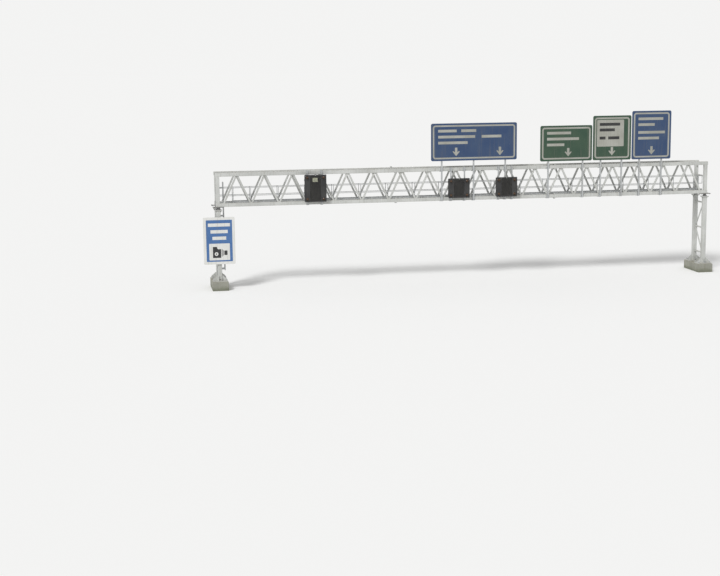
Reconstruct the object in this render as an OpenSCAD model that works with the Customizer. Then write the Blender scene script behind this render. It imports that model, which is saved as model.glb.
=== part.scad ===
// Portal sign gantry: a box lattice truss on two braced legs, with direction signs and lane signals.
// The span runs along X from the left leg, sign faces look along -Y, and Z is up from the ground.

/* [Span] */
// Width of one truss bay, between two nodes of the same chord
bay_w = 1960; // [1900:10:2100]
// Length of chord between an end post and the first bottom node
end_panel = 360; // [320:10:480]
// Bays in each of the three bolted truss sections
section_bays = 6; // [6:1:7]
// Height of the bottom chords' underside above the ground
clearance_h = 5850; // [5600:10:6400]

/* [Truss] */
// Distance between the centre lines of the front and back trusses
truss_spacing = 1600; // [1500:10:1800]
// Height of the truss over its chords
truss_h = 2350; // [2300:10:2600]
// Side of a square chord tube
chord_w = 240; // [200:5:260]
// Side of a diagonal tube
diagonal_w = 120; // [80:5:140]
// Side of the tubes that cross between the two trusses
strut_w = 100; // [80:5:120]
// Side of the plan bracing tubes
plan_brace_w = 80; // [50:5:90]
// Side of the flat cut across each tube's corners
tube_corner = 14; // [5:1:20]
// Thickness of the bolted plates that join the truss sections
splice_t = 30; // [20:1:50]
// Height of those plates above and below the chord
splice_lip = 80; // [50:5:100]
// Length of chord past the centre line of an end post
chord_overhang = 150; // [130:5:300]
// Thickness of the plates that close the chord ends
end_plate_t = 12; // [6:1:20]

/* [Legs] */
// Side of a square leg column
column_w = 300; // [250:5:350]
// Radius of the column's rounded corners
column_r = 30; // [15:1:45]
// Width of a column's base plate along the span
base_w = 1040; // [900:10:1080]
// Depth of a column's base plate
base_d = 750; // [650:10:800]
// Thickness of a base plate
base_t = 40; // [25:1:60]
// Height of the gussets on a base plate
gusset_h = 360; // [200:10:450]
// Thickness of a gusset
gusset_t = 20; // [12:1:30]
// Height of a gusset's square outer edge
gusset_toe = 40; // [20:5:80]
// Width of the plate on top of a column, along the span
cap_w = 500; // [400:10:560]
// Depth of that plate
cap_d = 420; // [380:10:500]
// Thickness of that plate
cap_t = 40; // [25:1:60]
// Height of the stiffeners under that plate
cap_gusset_h = 160; // [80:10:220]
// Height of the lowest tie between the two columns of a leg
low_tie_z = 1400; // [1250:10:1600]
// Drop from a column's top to the centre of the highest tie
tie_drop = 450; // [300:10:600]
// Ties between the two columns of a leg
tie_count = 3; // [3:1:4]

/* [Bearings] */
// Height of a bearing between a column's top plate and the sole plate
bearing_h = 170; // [120:5:220]
// Diameter of a bearing's pot
pot_d = 300; // [240:5:340]
// Diameter of a bearing's piston
piston_d = 220; // [160:5:230]
// Width of the sole plate under a chord, along the span
sole_w = 760; // [500:10:860]
// Depth of the sole plate
sole_d = 420; // [350:10:500]
// Thickness of the sole plate
sole_t = 40; // [25:1:60]

/* [Plinths] */
// Width of a concrete plinth along the span
plinth_w = 1120; // [1100:10:1300]
// Length of plinth in front of and behind the outer base plates' centres
plinth_end = 525; // [430:5:700]
// Height of a plinth above the ground
plinth_h = 620; // [400:10:800]
// Chamfer on a plinth's edges
plinth_chamfer = 25; // [10:1:40]
// Thickness of the grout bed under a base plate
grout_t = 30; // [15:1:50]

/* [Walkway] */
// Half width of the floor inside the truss
floor_half_w = 400; // [350:5:440]
// Thickness of a floor panel
floor_t = 30; // [20:1:40]
// Gap between two floor panels
floor_joint = 6; // [3:1:12]
// Distance from the left leg to the start of the floor, past the ladder
hatch_end = 1100; // [1000:10:1300]
// Height of the handrail above the cross struts
rail_h = 1100; // [1000:10:1200]
// Diameter of a handrail tube
rail_d = 42; // [34:1:48]
// Side of a handrail post
rail_post_w = 40; // [30:1:45]
// Height of the toe board
toe_h = 150; // [100:5:200]
// Thickness of the toe board
toe_t = 8; // [5:1:10]

/* [Ladder] */
// Distance from the leg's centre line to the middle of the ladder
ladder_x = 415; // [350:5:600]
// Distance between the outer faces of the ladder's stiles
ladder_w = 450; // [400:10:520]
// Width of a stile
stile_w = 70; // [50:5:80]
// Thickness of a stile
stile_t = 12; // [8:1:20]
// Diameter of a rung
rung_d = 28; // [20:1:35]
// Distance between two rungs
rung_pitch = 300; // [250:5:320]
// Height of the ladder's foot
ladder_foot_z = 1300; // [1100:10:1340]
// Height of the ladder above the walkway
ladder_rise = 1500; // [1200:10:1700]

/* [Cables] */
// Width of the cable trunking and tray
tray_w = 90; // [60:5:95]
// Depth of the cable trunking on the leg
trunking_d = 80; // [50:5:90]
// Height of the cable tray's sides
tray_h = 60; // [40:5:100]
// Wall of the cable tray
tray_t = 4; // [3:1:8]

/* [Signs] */
// Gap between the truss and the lower edges of the direction signs
sign_lift = 300; // [200:10:500]
// Extra lift of the widest direction sign
sign_1_lift = 200; // [0:10:300]
// Width of the widest direction sign
sign_1_w = 6300; // [5600:50:6600]
// Height of the widest direction sign
sign_1_h = 2650; // [2300:50:3000]
// Width of the second direction sign
sign_2_w = 3900; // [3600:50:4200]
// Height of the second direction sign
sign_2_h = 2550; // [2300:50:3000]
// Width of the third direction sign
sign_3_w = 2900; // [2700:50:3100]
// Height of the third direction sign
sign_3_h = 3200; // [2700:50:3500]
// Width of the fourth direction sign
sign_4_w = 3000; // [2700:50:3100]
// Height of the fourth direction sign
sign_4_h = 3500; // [3000:50:4000]
// Distance from the fourth sign's edge to the right leg
sign_4_to_leg = 2900; // [2600:50:3300]
// Gap between neighbouring direction signs
sign_gap = 60; // [20:5:120]
// Gap between the first and the second direction sign
wide_sign_gap = 1750; // [1500:50:2000]
// Thickness of a sign panel over its folded edges
panel_t = 30; // [20:1:45]
// Radius of a direction sign's corners
panel_r = 120; // [60:5:200]
// Thickness of a panel's face sheets
sheet_t = 5; // [4:1:8]
// Width of an upright rib behind a panel, of which the folded edge is half as wide
rib_w = 30; // [20:1:50]
// Distance between two ribs, before it is fitted to a panel's width
rib_pitch = 600; // [450:10:800]
// Width of the seam between two face sheets, on every second rib
seam_w = 4; // [2:1:6]
// Depth of that seam
seam_d = 2; // [1:0.5:3]
// Depth of the rails behind a panel
panel_rail_d = 60; // [40:5:80]
// Height of one such rail
panel_rail_h = 70; // [50:5:90]
// Greatest distance between two rails of one sign
panel_rail_pitch = 800; // [650:10:900]
// Distance from a sign's edge to its outer rail
panel_rail_inset = 180; // [120:5:260]
// Side of a sign post
sign_post_w = 100; // [80:5:120]
// Distance from a sign's side to its outer post
post_inset = 650; // [500:10:700]
// The same distance on the widest sign
wide_post_inset = 810; // [700:10:900]
// Greatest distance between two posts of one sign
post_pitch = 2700; // [2500:50:3000]
// Distance from a sign's upper edge down to its posts' tops
post_drop = 80; // [40:5:150]
// Thickness of the clamp plates between posts and chords
clamp_t = 12; // [8:1:20]
// Width that a clamp plate shows on each side of a post
clamp_lip = 50; // [30:5:70]
// Height that a clamp plate shows above and below a chord
clamp_rise = 30; // [10:5:50]

/* [Verge sign] */
// Width of the sign on the left leg
verge_w = 2200; // [1900:50:2400]
// Height of the sign on the left leg
verge_h = 3300; // [2900:50:3400]
// Drop from a column's top to that sign's upper edge
verge_drop = 450; // [300:10:600]
// Radius of that sign's corners
verge_r = 80; // [40:5:150]

/* [Signals] */
// Distance from the left leg to the first signal
signal_1_x = 6780; // [6000:20:8000]
// Width of a signal's backing board
signal_w = 1550; // [1400:10:1650]
// Height of the first signal's backing board
signal_1_h = 1900; // [1500:10:1950]
// Height of the other signals' backing boards
signal_h = 1400; // [1300:10:1600]
// Height of a signal's lower edge above the bottom chords' underside
signal_lift = 220; // [180:10:300]
// Depth of a signal's housing behind its board
housing_d = 300; // [200:5:350]
// Width of board that shows around the housing
board_lip = 40; // [20:5:80]
// Thickness of the backing board
board_t = 30; // [20:1:50]
// Depth of the display window in the board
window_depth = 18; // [5:1:19]
// Width of board between a lantern or window and the board's edge
board_margin = 90; // [70:5:120]
// Inner diameter of a corner lantern's hood
lantern_d = 200; // [150:5:220]
// Length of a corner lantern's hood
hood_l = 110; // [60:5:160]
// Wall of a lantern's hood
hood_t = 6; // [4:1:10]
// Slope of the cut under a lantern's hood, from the board's plane
hood_slope = 40; // [20:5:50]
// Width of a signal's hanger tubes
hanger_w = 80; // [60:5:100]
// Distance from a hanger to the side of the board
hanger_inset = 275; // [200:5:330]
// Depth of the cross bars between hangers and housing
crossbar_d = 40; // [30:1:60]

/* [Hidden] */
// Sunk depth of a welded end, so that joined tubes fuse
weld_bite = 4;
// Clearance around a fitted neighbour
fit_gap = 10;
// Facets of a light round bar
bar_facets = 8;
// Facets of a round that fits or shows
round_facets = 48;

bay_count = 3 * section_bays;
half_bay = bay_w / 2;
span = bay_count * bay_w + 2 * end_panel;
bottom_nodes = [for (i = [1 : bay_count]) end_panel + i * bay_w];
top_nodes = [for (i = [0 : bay_count - 1]) end_panel + half_bay + i * bay_w];
half_spacing = truss_spacing / 2;
bottom_z = clearance_h + chord_w / 2;
top_z = clearance_h + truss_h - chord_w / 2;
chord_inner_y = half_spacing - chord_w / 2;
chord_front_y = -half_spacing - chord_w / 2;
seat_z = bottom_z + strut_w / 2;
rail_z = seat_z + rail_h;
column_top_z = clearance_h - sole_t - bearing_h - cap_t;
column_foot_z = plinth_h + grout_t + base_t;
column_inner_y = half_spacing - column_w / 2;
high_tie_z = column_top_z - tie_drop;
tie_pitch = (high_tie_z - low_tie_z) / (tie_count - 1);
rail_y = floor_half_w + toe_t + rail_post_w / 2 + fit_gap;
tray_y = rail_y + rail_post_w / 2 + fit_gap;
trunking_top_z = seat_z + tray_h;
post_front_y = chord_front_y - clamp_t - sign_post_w;
panel_back_y = post_front_y - panel_rail_d;
hanger_front_y = post_front_y - fit_gap;
housing_back_y = hanger_front_y - crossbar_d;
board_back_y = housing_back_y - housing_d;
board_front_y = board_back_y - board_t;
signal_z = clearance_h + signal_lift;
sign_z = clearance_h + truss_h + sign_lift;
verge_z = column_top_z - verge_drop - verge_h;
sign_4_x = span - sign_4_to_leg - sign_4_w / 2;
sign_3_x = sign_4_x - sign_4_w / 2 - sign_gap - sign_3_w / 2;
sign_2_x = sign_3_x - sign_3_w / 2 - sign_gap - sign_2_w / 2;
sign_1_x = sign_2_x - sign_2_w / 2 - wide_sign_gap - sign_1_w / 2;
sign_1_posts = post_places(sign_1_x, sign_1_w, wide_post_inset);
signal_2_x = (sign_1_posts[0] + sign_1_posts[1]) / 2;
signal_3_x = sign_1_posts[len(sign_1_posts) - 1];

steel = [0.79, 0.80, 0.78];
galvanised = [0.62, 0.64, 0.64];
concrete = [0.60, 0.59, 0.54];
sign_blue = [0.10, 0.22, 0.50];
sign_green = [0.05, 0.21, 0.14];
signal_black = [0.07, 0.07, 0.07];

// Square outline with its corners cut off, the section of a lattice tube
module tube_outline(w) {
    h = w / 2;
    c = h - tube_corner;
    polygon([[h, -c], [h, c], [c, h], [-c, h], [-h, c], [-h, -c], [-c, -h], [c, -h]]);
}

// Straight tube of side w between two points
module bar(a, b, w) {
    run = b - a;
    translate(a)
        rotate([0, acos(run.z / norm(run)), atan2(run.y, run.x)])
        linear_extrude(norm(run))
        tube_outline(w);
}

// Block between two opposite corners
module block(low, high) {
    translate(low)
        cube(high - low);
}

// Rectangle of width w and height h with corners of radius r, centred
module rounded_outline(w, h, r) {
    square([w - 2 * r, h], center = true);
    square([w, h - 2 * r], center = true);
    for (x = [-1, 1], y = [-1, 1])
        translate([x * (w / 2 - r), y * (h / 2 - r)])
        circle(r, $fn = round_facets);
}

// Plate with rounded corners that stands in the XZ plane, from y_front back to y_back
module upright_plate(x, z_low, w, h, r, y_front, y_back) {
    translate([x, y_back, z_low + h / 2])
        rotate([90, 0, 0])
        linear_extrude(y_back - y_front)
        rounded_outline(w, h, r);
}

// Right-angled gusset with a square toe and a clipped inner corner, in the XZ plane, against x = 0
module gusset(length, height, toe) {
    snipe = toe / 2;
    translate([0, gusset_t / 2, 0])
        rotate([90, 0, 0])
        linear_extrude(gusset_t)
        polygon([[snipe, 0], [length, 0], [length, toe], [toe, height], [0, height], [0, snipe]]);
}

// Concrete plinth with chamfered edges, and the grout beds that the two base plates sit on
module plinth(x) {
    plinth_d = truss_spacing + 2 * plinth_end;
    c = plinth_chamfer;
    color(concrete)
        translate([x, 0, 0]) {
            intersection() {
                rotate([90, 0, 0])
                    linear_extrude(plinth_d, center = true)
                    chamfered_side(plinth_w, plinth_h, c);
                rotate([90, 0, 90])
                    linear_extrude(plinth_w, center = true)
                    chamfered_side(plinth_d, plinth_h, c);
                linear_extrude(plinth_h)
                    chamfered_plan(plinth_w, plinth_d, c);
            }
            for (side = [-1, 1])
                translate([-base_w / 2, side * half_spacing - base_d / 2, plinth_h - weld_bite])
                cube([base_w, base_d, grout_t + weld_bite]);
        }
}

// Side outline of a block, w wide and h tall, with its two upper corners cut off
module chamfered_side(w, h, c) {
    polygon([[-w / 2, 0], [w / 2, 0], [w / 2, h - c], [w / 2 - c, h], [c - w / 2, h], [-w / 2, h - c]]);
}

// Plan outline of a block with its four corners cut off
module chamfered_plan(w, d, c) {
    difference() {
        square([w, d], center = true);
        for (x = [-1, 1], y = [-1, 1])
            translate([x * w / 2, y * d / 2])
            rotate(45)
            square(c * sqrt(2), center = true);
    }
}

// Leg column with its base plate, base gussets, top plate and stiffeners
module column(x, side) {
    gusset_x = (base_w - column_w) / 2;
    gusset_y = (base_d - column_w) / 2;
    cap_x = (cap_w - column_w) / 2;
    color(steel)
        translate([x, side * half_spacing, 0]) {
            translate([0, 0, column_foot_z - weld_bite])
                linear_extrude(column_top_z - column_foot_z + 2 * weld_bite)
                rounded_outline(column_w, column_w, column_r);
            translate([-base_w / 2, -base_d / 2, column_foot_z - base_t])
                cube([base_w, base_d, base_t]);
            translate([-cap_w / 2, -cap_d / 2, column_top_z])
                cube([cap_w, cap_d, cap_t]);
            for (turn = [0, 180])
                rotate(turn) {
                    for (y = [-1, 1])
                        translate([column_w / 2 - weld_bite, y * (column_w / 2 - column_r - gusset_t), column_foot_z - weld_bite])
                        gusset(gusset_x, gusset_h, gusset_toe);
                    translate([column_w / 2 - weld_bite, 0, column_top_z + weld_bite])
                        mirror([0, 0, 1])
                        gusset(cap_x, cap_gusset_h, gusset_toe / 2);
                }
            for (turn = [90, 270])
                rotate(turn)
                for (y = [-1, 1])
                    translate([column_w / 2 - weld_bite, y * (column_w / 2 - column_r - gusset_t), column_foot_z - weld_bite])
                    gusset(gusset_y, gusset_h, gusset_toe);
        }
}

// Ties and diagonals between the two columns of a leg, welded into one frame
module leg_bracing(x) {
    y = column_inner_y;
    level = [for (i = [0 : tie_count - 1]) low_tie_z + i * tie_pitch];
    color(steel)
        intersection() {
            block([x - strut_w, -y, 0], [x + strut_w, y, clearance_h]);
            union() {
                for (z = level)
                    bar([x, -y - strut_w, z], [x, y + strut_w, z], strut_w);
                for (i = [0 : tie_count - 2]) {
                    slope = i % 2 == 0 ? 1 : -1;
                    bar([x, -slope * y, level[i]], [x, slope * y, level[i + 1]], plan_brace_w);
                }
            }
        }
}

// Pot bearings and sole plates, one on each column of a leg
module bearings(x) {
    pot_h = bearing_h / 2;
    cap_top_z = column_top_z + cap_t;
    color(galvanised)
        for (side = [-1, 1])
            translate([x, side * half_spacing, cap_top_z]) {
                cylinder(h = pot_h, d = pot_d, $fn = round_facets);
                translate([0, 0, pot_h - weld_bite])
                    cylinder(h = bearing_h - pot_h + 2 * weld_bite, d = piston_d, $fn = round_facets);
                translate([-sole_w / 2, -sole_d / 2, bearing_h])
                    cube([sole_w, sole_d, sole_t]);
            }
}

function splice_x(i) = end_panel + i * section_bays * bay_w + bay_w / 4;

// One diagonal of a truss face, trimmed to its half bay and sunk into the chords that it is welded to
module diagonal(cell, top_bite) {
    x = end_panel + cell * half_bay;
    rising = cell % 2 == 0;
    low = [rising ? x : x + half_bay, 0, bottom_z];
    high = [rising ? x + half_bay : x, 0, top_z];
    intersection() {
        block([x, -diagonal_w, bottom_z + chord_w / 2 - weld_bite],
            [x + half_bay, diagonal_w, top_z - chord_w / 2 + top_bite]);
        bar(low, high, diagonal_w);
    }
}

// Plate across a chord from x, t thick, that stands lip above and below it
module chord_plate(x, z, t, lip) {
    block([x, -chord_w / 2, z - chord_w / 2 - lip], [x + t, chord_w / 2, z + chord_w / 2 + lip]);
}

// One bolted section of a truss face: two chords, their diagonals, joint plates and any end post
module truss_section(i, side) {
    first = i == 0;
    last = i == 2;
    x0 = first ? -chord_overhang : splice_x(i);
    x1 = last ? span + chord_overhang : splice_x(i + 1);
    first_cell = 2 * i * section_bays + (first ? 0 : 1);
    last_cell = 2 * (i + 1) * section_bays - (last ? 1 : 0);
    color(steel)
        translate([0, side * half_spacing, 0]) {
            for (z = [bottom_z, top_z]) {
                bar([x0, 0, z], [x1, 0, z], chord_w);
                chord_plate(x0, z, first ? end_plate_t : splice_t, first ? 0 : splice_lip);
                chord_plate(x1 - (last ? end_plate_t : splice_t), z, last ? end_plate_t : splice_t, last ? 0 : splice_lip);
            }
            for (cell = [first_cell : last_cell])
                diagonal(cell, !last && cell == last_cell ? 0 : weld_bite);
            if (first)
                bar([0, 0, bottom_z], [0, 0, top_z], chord_w);
            if (last)
                bar([span, 0, bottom_z], [span, 0, top_z], chord_w);
        }
}

// Cross struts between the end posts, the upper one stiffened by two knees
module end_frame(x) {
    y = chord_inner_y;
    knee = y / 2;
    color(steel)
        intersection() {
            block([x - strut_w, -y, 0], [x + strut_w, y, top_z + chord_w]);
            union() {
                for (z = [bottom_z, rail_z, top_z])
                    bar([x, -y - strut_w, z], [x, y + strut_w, z], strut_w);
                for (side = [-1, 1])
                    bar([x, side * (y + knee), top_z - 2 * knee], [x, side * (y - knee), top_z], plan_brace_w);
            }
        }
}

// Cross struts between a pair of chords at the given places, with a plan diagonal from each to the next
module plan_bracing(z, places) {
    y = chord_inner_y;
    color(steel)
        intersection() {
            block([strut_w / 2, -y, z - strut_w], [span - strut_w / 2, y, z + strut_w]);
            union() {
                for (x = places)
                    bar([x, -y - strut_w, z], [x, y + strut_w, z], strut_w);
                for (i = [0 : len(places) - 2]) {
                    slope = i % 2 == 0 ? 1 : -1;
                    bar([places[i], -slope * y, z], [places[i + 1], slope * y, z], plan_brace_w);
                }
            }
        }
}

// Struts and diagonals between the two top chords
module top_bracing() {
    plan_bracing(top_z, top_nodes);
}

// Struts and diagonals between the two bottom chords, past the ladder's hatch
module bottom_bracing() {
    plan_bracing(bottom_z, concat([hatch_end], bottom_nodes));
}

// Floor panels of the walkway, one to a bay and a short one at the right leg, resting on the cross struts
module walkway_floor() {
    starts = concat([hatch_end - strut_w / 2], [for (x = bottom_nodes) x + floor_joint / 2]);
    ends = concat([for (x = bottom_nodes) x - floor_joint / 2], [span + strut_w / 2]);
    color(galvanised)
        for (i = [0 : bay_count])
            block([starts[i], -floor_half_w, seat_z], [ends[i], floor_half_w, seat_z + floor_t]);
}

// Handrails along both edges of the walkway: posts, two rails and a toe board a side
module walkway_handrails() {
    posts = concat([hatch_end], bottom_nodes);
    rail_from = strut_w / 2;
    rail_to = span - strut_w / 2;
    toe_y = rail_y - rail_post_w / 2 - toe_t;
    color(galvanised)
        for (side = [-1, 1])
            scale_side(side) {
                for (x = posts)
                    block([x - rail_post_w / 2, rail_y - rail_post_w / 2, seat_z],
                        [x + rail_post_w / 2, rail_y + rail_post_w / 2, rail_z - rail_d / 4]);
                for (z = [rail_z, (seat_z + rail_z) / 2])
                    translate([rail_from, rail_y, z])
                    rotate([0, 90, 0])
                    rotate(180 / bar_facets)
                    cylinder(h = rail_to - rail_from, d = rail_d, $fn = bar_facets);
                block([posts[0], toe_y, seat_z + floor_t], [rail_to, toe_y + toe_t + weld_bite, seat_z + toe_h]);
            }
}

// Children as drawn for the back half, or mirrored for the front half
module scale_side(side) {
    if (side > 0)
        children();
    else
        mirror([0, 1, 0])
            children();
}

// Vertical ladder up the road side of the left leg, tied back to the leg and to the end frame
module access_ladder() {
    top = seat_z + ladder_rise;
    rungs = floor((top - ladder_foot_z - rung_pitch / 2) / rung_pitch);
    ties = concat([for (i = [0 : tie_count - 1]) low_tie_z + i * tie_pitch], [bottom_z, rail_z]);
    stile_y = ladder_w / 2 - stile_t;
    color(galvanised) {
        for (side = [-1, 1])
            scale_side(side) {
                block([ladder_x - stile_w / 2, stile_y, ladder_foot_z], [ladder_x + stile_w / 2, stile_y + stile_t, top]);
                for (z = ties)
                    block([strut_w / 2, stile_y, z - stile_w / 2], [ladder_x, stile_y + stile_t, z + stile_w / 2]);
            }
        for (i = [0 : rungs])
            translate([ladder_x, 0, ladder_foot_z + rung_pitch / 2 + i * rung_pitch])
            rotate([90, 0, 0])
            cylinder(h = ladder_w - stile_t, d = rung_d, center = true, $fn = bar_facets);
    }
}

// Closed cable duct up the outer side of the left leg, from the plinth, then across to the tray's end
module cable_trunking() {
    outer_x = -strut_w / 2 - trunking_d;
    color(galvanised) {
        block([outer_x, -tray_w / 2, plinth_h], [-strut_w / 2, tray_w / 2, trunking_top_z]);
        block([outer_x, 0, seat_z], [-strut_w / 2, tray_y + tray_w, trunking_top_z]);
    }
}

// Open cable tray along the back handrail, resting on the cross struts
module cable_tray() {
    low = [-strut_w / 2, tray_y, seat_z];
    high = [span - strut_w / 2, tray_y + tray_w, seat_z + tray_h];
    color(galvanised)
        difference() {
            block(low, high);
            block(low + [tray_t, tray_t, tray_t], high - [tray_t, tray_t, -tray_t]);
        }
}

// Heights of a sign's rails, spread between its lower and upper edge
function rail_levels(z, h) =
    let (run = h - 2 * panel_rail_inset, count = ceil(run / panel_rail_pitch))
    [for (i = [0 : count]) z + panel_rail_inset + i * run / count];

// Places of a sign's posts, spread about its middle
function post_places(x, w, inset = post_inset) =
    let (run = w - 2 * inset, count = ceil(run / post_pitch))
    [for (i = [0 : count]) x - run / 2 + i * run / count];

// Clamp plate behind a post or hanger of side w, across one chord
module clamp_plate(x, z, w) {
    half_w = w / 2 + clamp_lip;
    half_h = chord_w / 2 + clamp_rise;
    block([x - half_w, chord_front_y - clamp_t, z - half_h], [x + half_w, chord_front_y, z + half_h]);
}

// Posts clamped to both front chords, with the rails that carry a direction sign's panel
module sign_frame(x, w, h, lift = 0, inset = post_inset) {
    top = sign_z + lift + h - post_drop;
    color(galvanised) {
        for (post_x = post_places(x, w, inset)) {
            block([post_x - sign_post_w / 2, post_front_y, clearance_h],
                [post_x + sign_post_w / 2, chord_front_y - clamp_t + weld_bite, top]);
            for (z = [bottom_z, top_z])
                clamp_plate(post_x, z, sign_post_w);
        }
        for (z = rail_levels(sign_z + lift, h))
            block([x - w / 2 + panel_rail_inset, panel_back_y, z - panel_rail_h / 2],
                [x + w / 2 - panel_rail_inset, post_front_y + weld_bite, z + panel_rail_h / 2]);
    }
}

// Sign panel of face sheets that meet on every second rib, with a folded edge and upright ribs behind
module ribbed_panel(x, z_low, w, h, r, back_y) {
    front_y = back_y - panel_t;
    sheet_y = front_y + sheet_t;
    fold_w = rib_w / 2;
    cells = round(w / rib_pitch);
    cell_w = w / cells;
    difference() {
        upright_plate(x, z_low, w, h, r, front_y, back_y);
        for (i = [0 : cells - 1]) {
            cell_x = x - w / 2 + i * cell_w;
            intersection() {
                upright_plate(x, z_low + fold_w, w - 2 * fold_w, h - 2 * fold_w, r - fold_w, sheet_y, back_y + 1);
                block([cell_x + rib_w / 2, front_y, z_low], [cell_x + cell_w - rib_w / 2, back_y + 2, z_low + h]);
            }
        }
        for (i = [2 : 2 : cells - 1])
            translate([x - w / 2 + i * cell_w, 0, 0])
                block([-seam_w / 2, front_y - 1, z_low - 1], [seam_w / 2, front_y + seam_d, z_low + h + 1]);
    }
}

// Direction sign panel
module sign_panel(x, w, h, tint, lift = 0) {
    color(tint)
        ribbed_panel(x, sign_z + lift, w, h, panel_r, panel_back_y);
}

// Panel of the sign on the left leg's front column
module verge_sign_panel() {
    color(sign_blue)
        ribbed_panel(0, verge_z, verge_w, verge_h, verge_r, -half_spacing - column_w / 2 - panel_rail_d);
}

// Rails between that panel and the column
module verge_sign_rails() {
    front_y = -half_spacing - column_w / 2 - panel_rail_d;
    color(galvanised)
        for (z = rail_levels(verge_z, verge_h))
            block([-verge_w / 2 + panel_rail_inset, front_y, z - panel_rail_h / 2],
                [verge_w / 2 - panel_rail_inset, front_y + panel_rail_d, z + panel_rail_h / 2]);
}

// Signal: a housing behind a wider board, with a sunk display and a hooded lantern in each corner
module signal_housing(x, h) {
    body_w = signal_w - 2 * board_lip;
    lantern_step = board_margin + lantern_d / 2 + hood_t;
    window_w = signal_w - 4 * lantern_step;
    window_h = h - 2 * board_margin;
    color(signal_black) {
        upright_plate(x, signal_z + board_lip, body_w, h - 2 * board_lip, board_lip,
            board_back_y - weld_bite, housing_back_y);
        difference() {
            upright_plate(x, signal_z, signal_w, h, board_lip, board_front_y, board_back_y);
            upright_plate(x, signal_z + board_margin, window_w, window_h, board_lip,
                board_front_y - 1, board_front_y + window_depth);
        }
        for (side = [-1, 1], z = [signal_z + lantern_step, signal_z + h - lantern_step])
            translate([x + side * (signal_w / 2 - lantern_step), board_front_y + weld_bite, z])
            rotate([90, 0, 0])
            lantern_hood();
    }
}

// Lantern hood: a round tube whose front is cut back on a slope below
module lantern_hood() {
    outer = lantern_d + 2 * hood_t;
    difference() {
        cylinder(h = hood_l, d = outer, $fn = round_facets);
        translate([0, 0, weld_bite + 2])
            cylinder(h = hood_l, d = lantern_d, $fn = round_facets);
        translate([0, -outer / 2, hood_l])
            rotate([-hood_slope, 0, 0])
            translate([-outer, -outer, 0])
            cube([2 * outer, 2 * outer, 2 * outer]);
    }
}

// Hangers clamped to both front chords, with the cross bars that a signal's housing is bolted to
module signal_hangers(x, h) {
    reach = signal_w / 2 - hanger_inset;
    back_y = chord_front_y - clamp_t;
    color(galvanised) {
        for (side = [-1, 1]) {
            hanger_x = x + side * reach;
            block([hanger_x - hanger_w / 2, hanger_front_y, clearance_h],
                [hanger_x + hanger_w / 2, back_y + weld_bite, clearance_h + truss_h]);
            for (z = [bottom_z, top_z])
                clamp_plate(hanger_x, z, hanger_w);
        }
        for (z = [signal_z + h / 4, signal_z + 3 * h / 4])
            block([x - reach - hanger_w / 2, housing_back_y, z - hanger_w / 2],
                [x + reach + hanger_w / 2, hanger_front_y + weld_bite, z + hanger_w / 2]);
    }
}

plinth(0);  // left_plinth
plinth(span);  // right_plinth
column(0, -1);  // left_leg_front_column
column(0, 1);  // left_leg_back_column
column(span, -1);  // right_leg_front_column
column(span, 1);  // right_leg_back_column
leg_bracing(0);  // left_leg_bracing
leg_bracing(span);  // right_leg_bracing
bearings(0);  // left_bearings
bearings(span);  // right_bearings
truss_section(0, -1);  // front_truss_left
truss_section(1, -1);  // front_truss_middle
truss_section(2, -1);  // front_truss_right
truss_section(0, 1);  // back_truss_left
truss_section(1, 1);  // back_truss_middle
truss_section(2, 1);  // back_truss_right
end_frame(0);  // left_end_frame
end_frame(span);  // right_end_frame
top_bracing();
bottom_bracing();
walkway_floor();
walkway_handrails();
access_ladder();
cable_trunking();
cable_tray();
verge_sign_panel();
verge_sign_rails();
sign_panel(sign_1_x, sign_1_w, sign_1_h, sign_blue, sign_1_lift);  // direction_sign_1_panel
sign_frame(sign_1_x, sign_1_w, sign_1_h, sign_1_lift, wide_post_inset);  // direction_sign_1_frame
sign_panel(sign_2_x, sign_2_w, sign_2_h, sign_green);  // direction_sign_2_panel
sign_frame(sign_2_x, sign_2_w, sign_2_h);  // direction_sign_2_frame
sign_panel(sign_3_x, sign_3_w, sign_3_h, sign_green);  // direction_sign_3_panel
sign_frame(sign_3_x, sign_3_w, sign_3_h);  // direction_sign_3_frame
sign_panel(sign_4_x, sign_4_w, sign_4_h, sign_blue);  // direction_sign_4_panel
sign_frame(sign_4_x, sign_4_w, sign_4_h);  // direction_sign_4_frame
signal_housing(signal_1_x, signal_1_h);  // signal_1_housing
signal_hangers(signal_1_x, signal_1_h);  // signal_1_hangers
signal_housing(signal_2_x, signal_h);  // signal_2_housing
signal_hangers(signal_2_x, signal_h);  // signal_2_hangers
signal_housing(signal_3_x, signal_h);  // signal_3_housing
signal_hangers(signal_3_x, signal_h);  // signal_3_hangers
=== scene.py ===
from math import ceil, cos, hypot, pi, radians, sin

import bmesh
import bpy
from mathutils import Matrix, Vector


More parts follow.
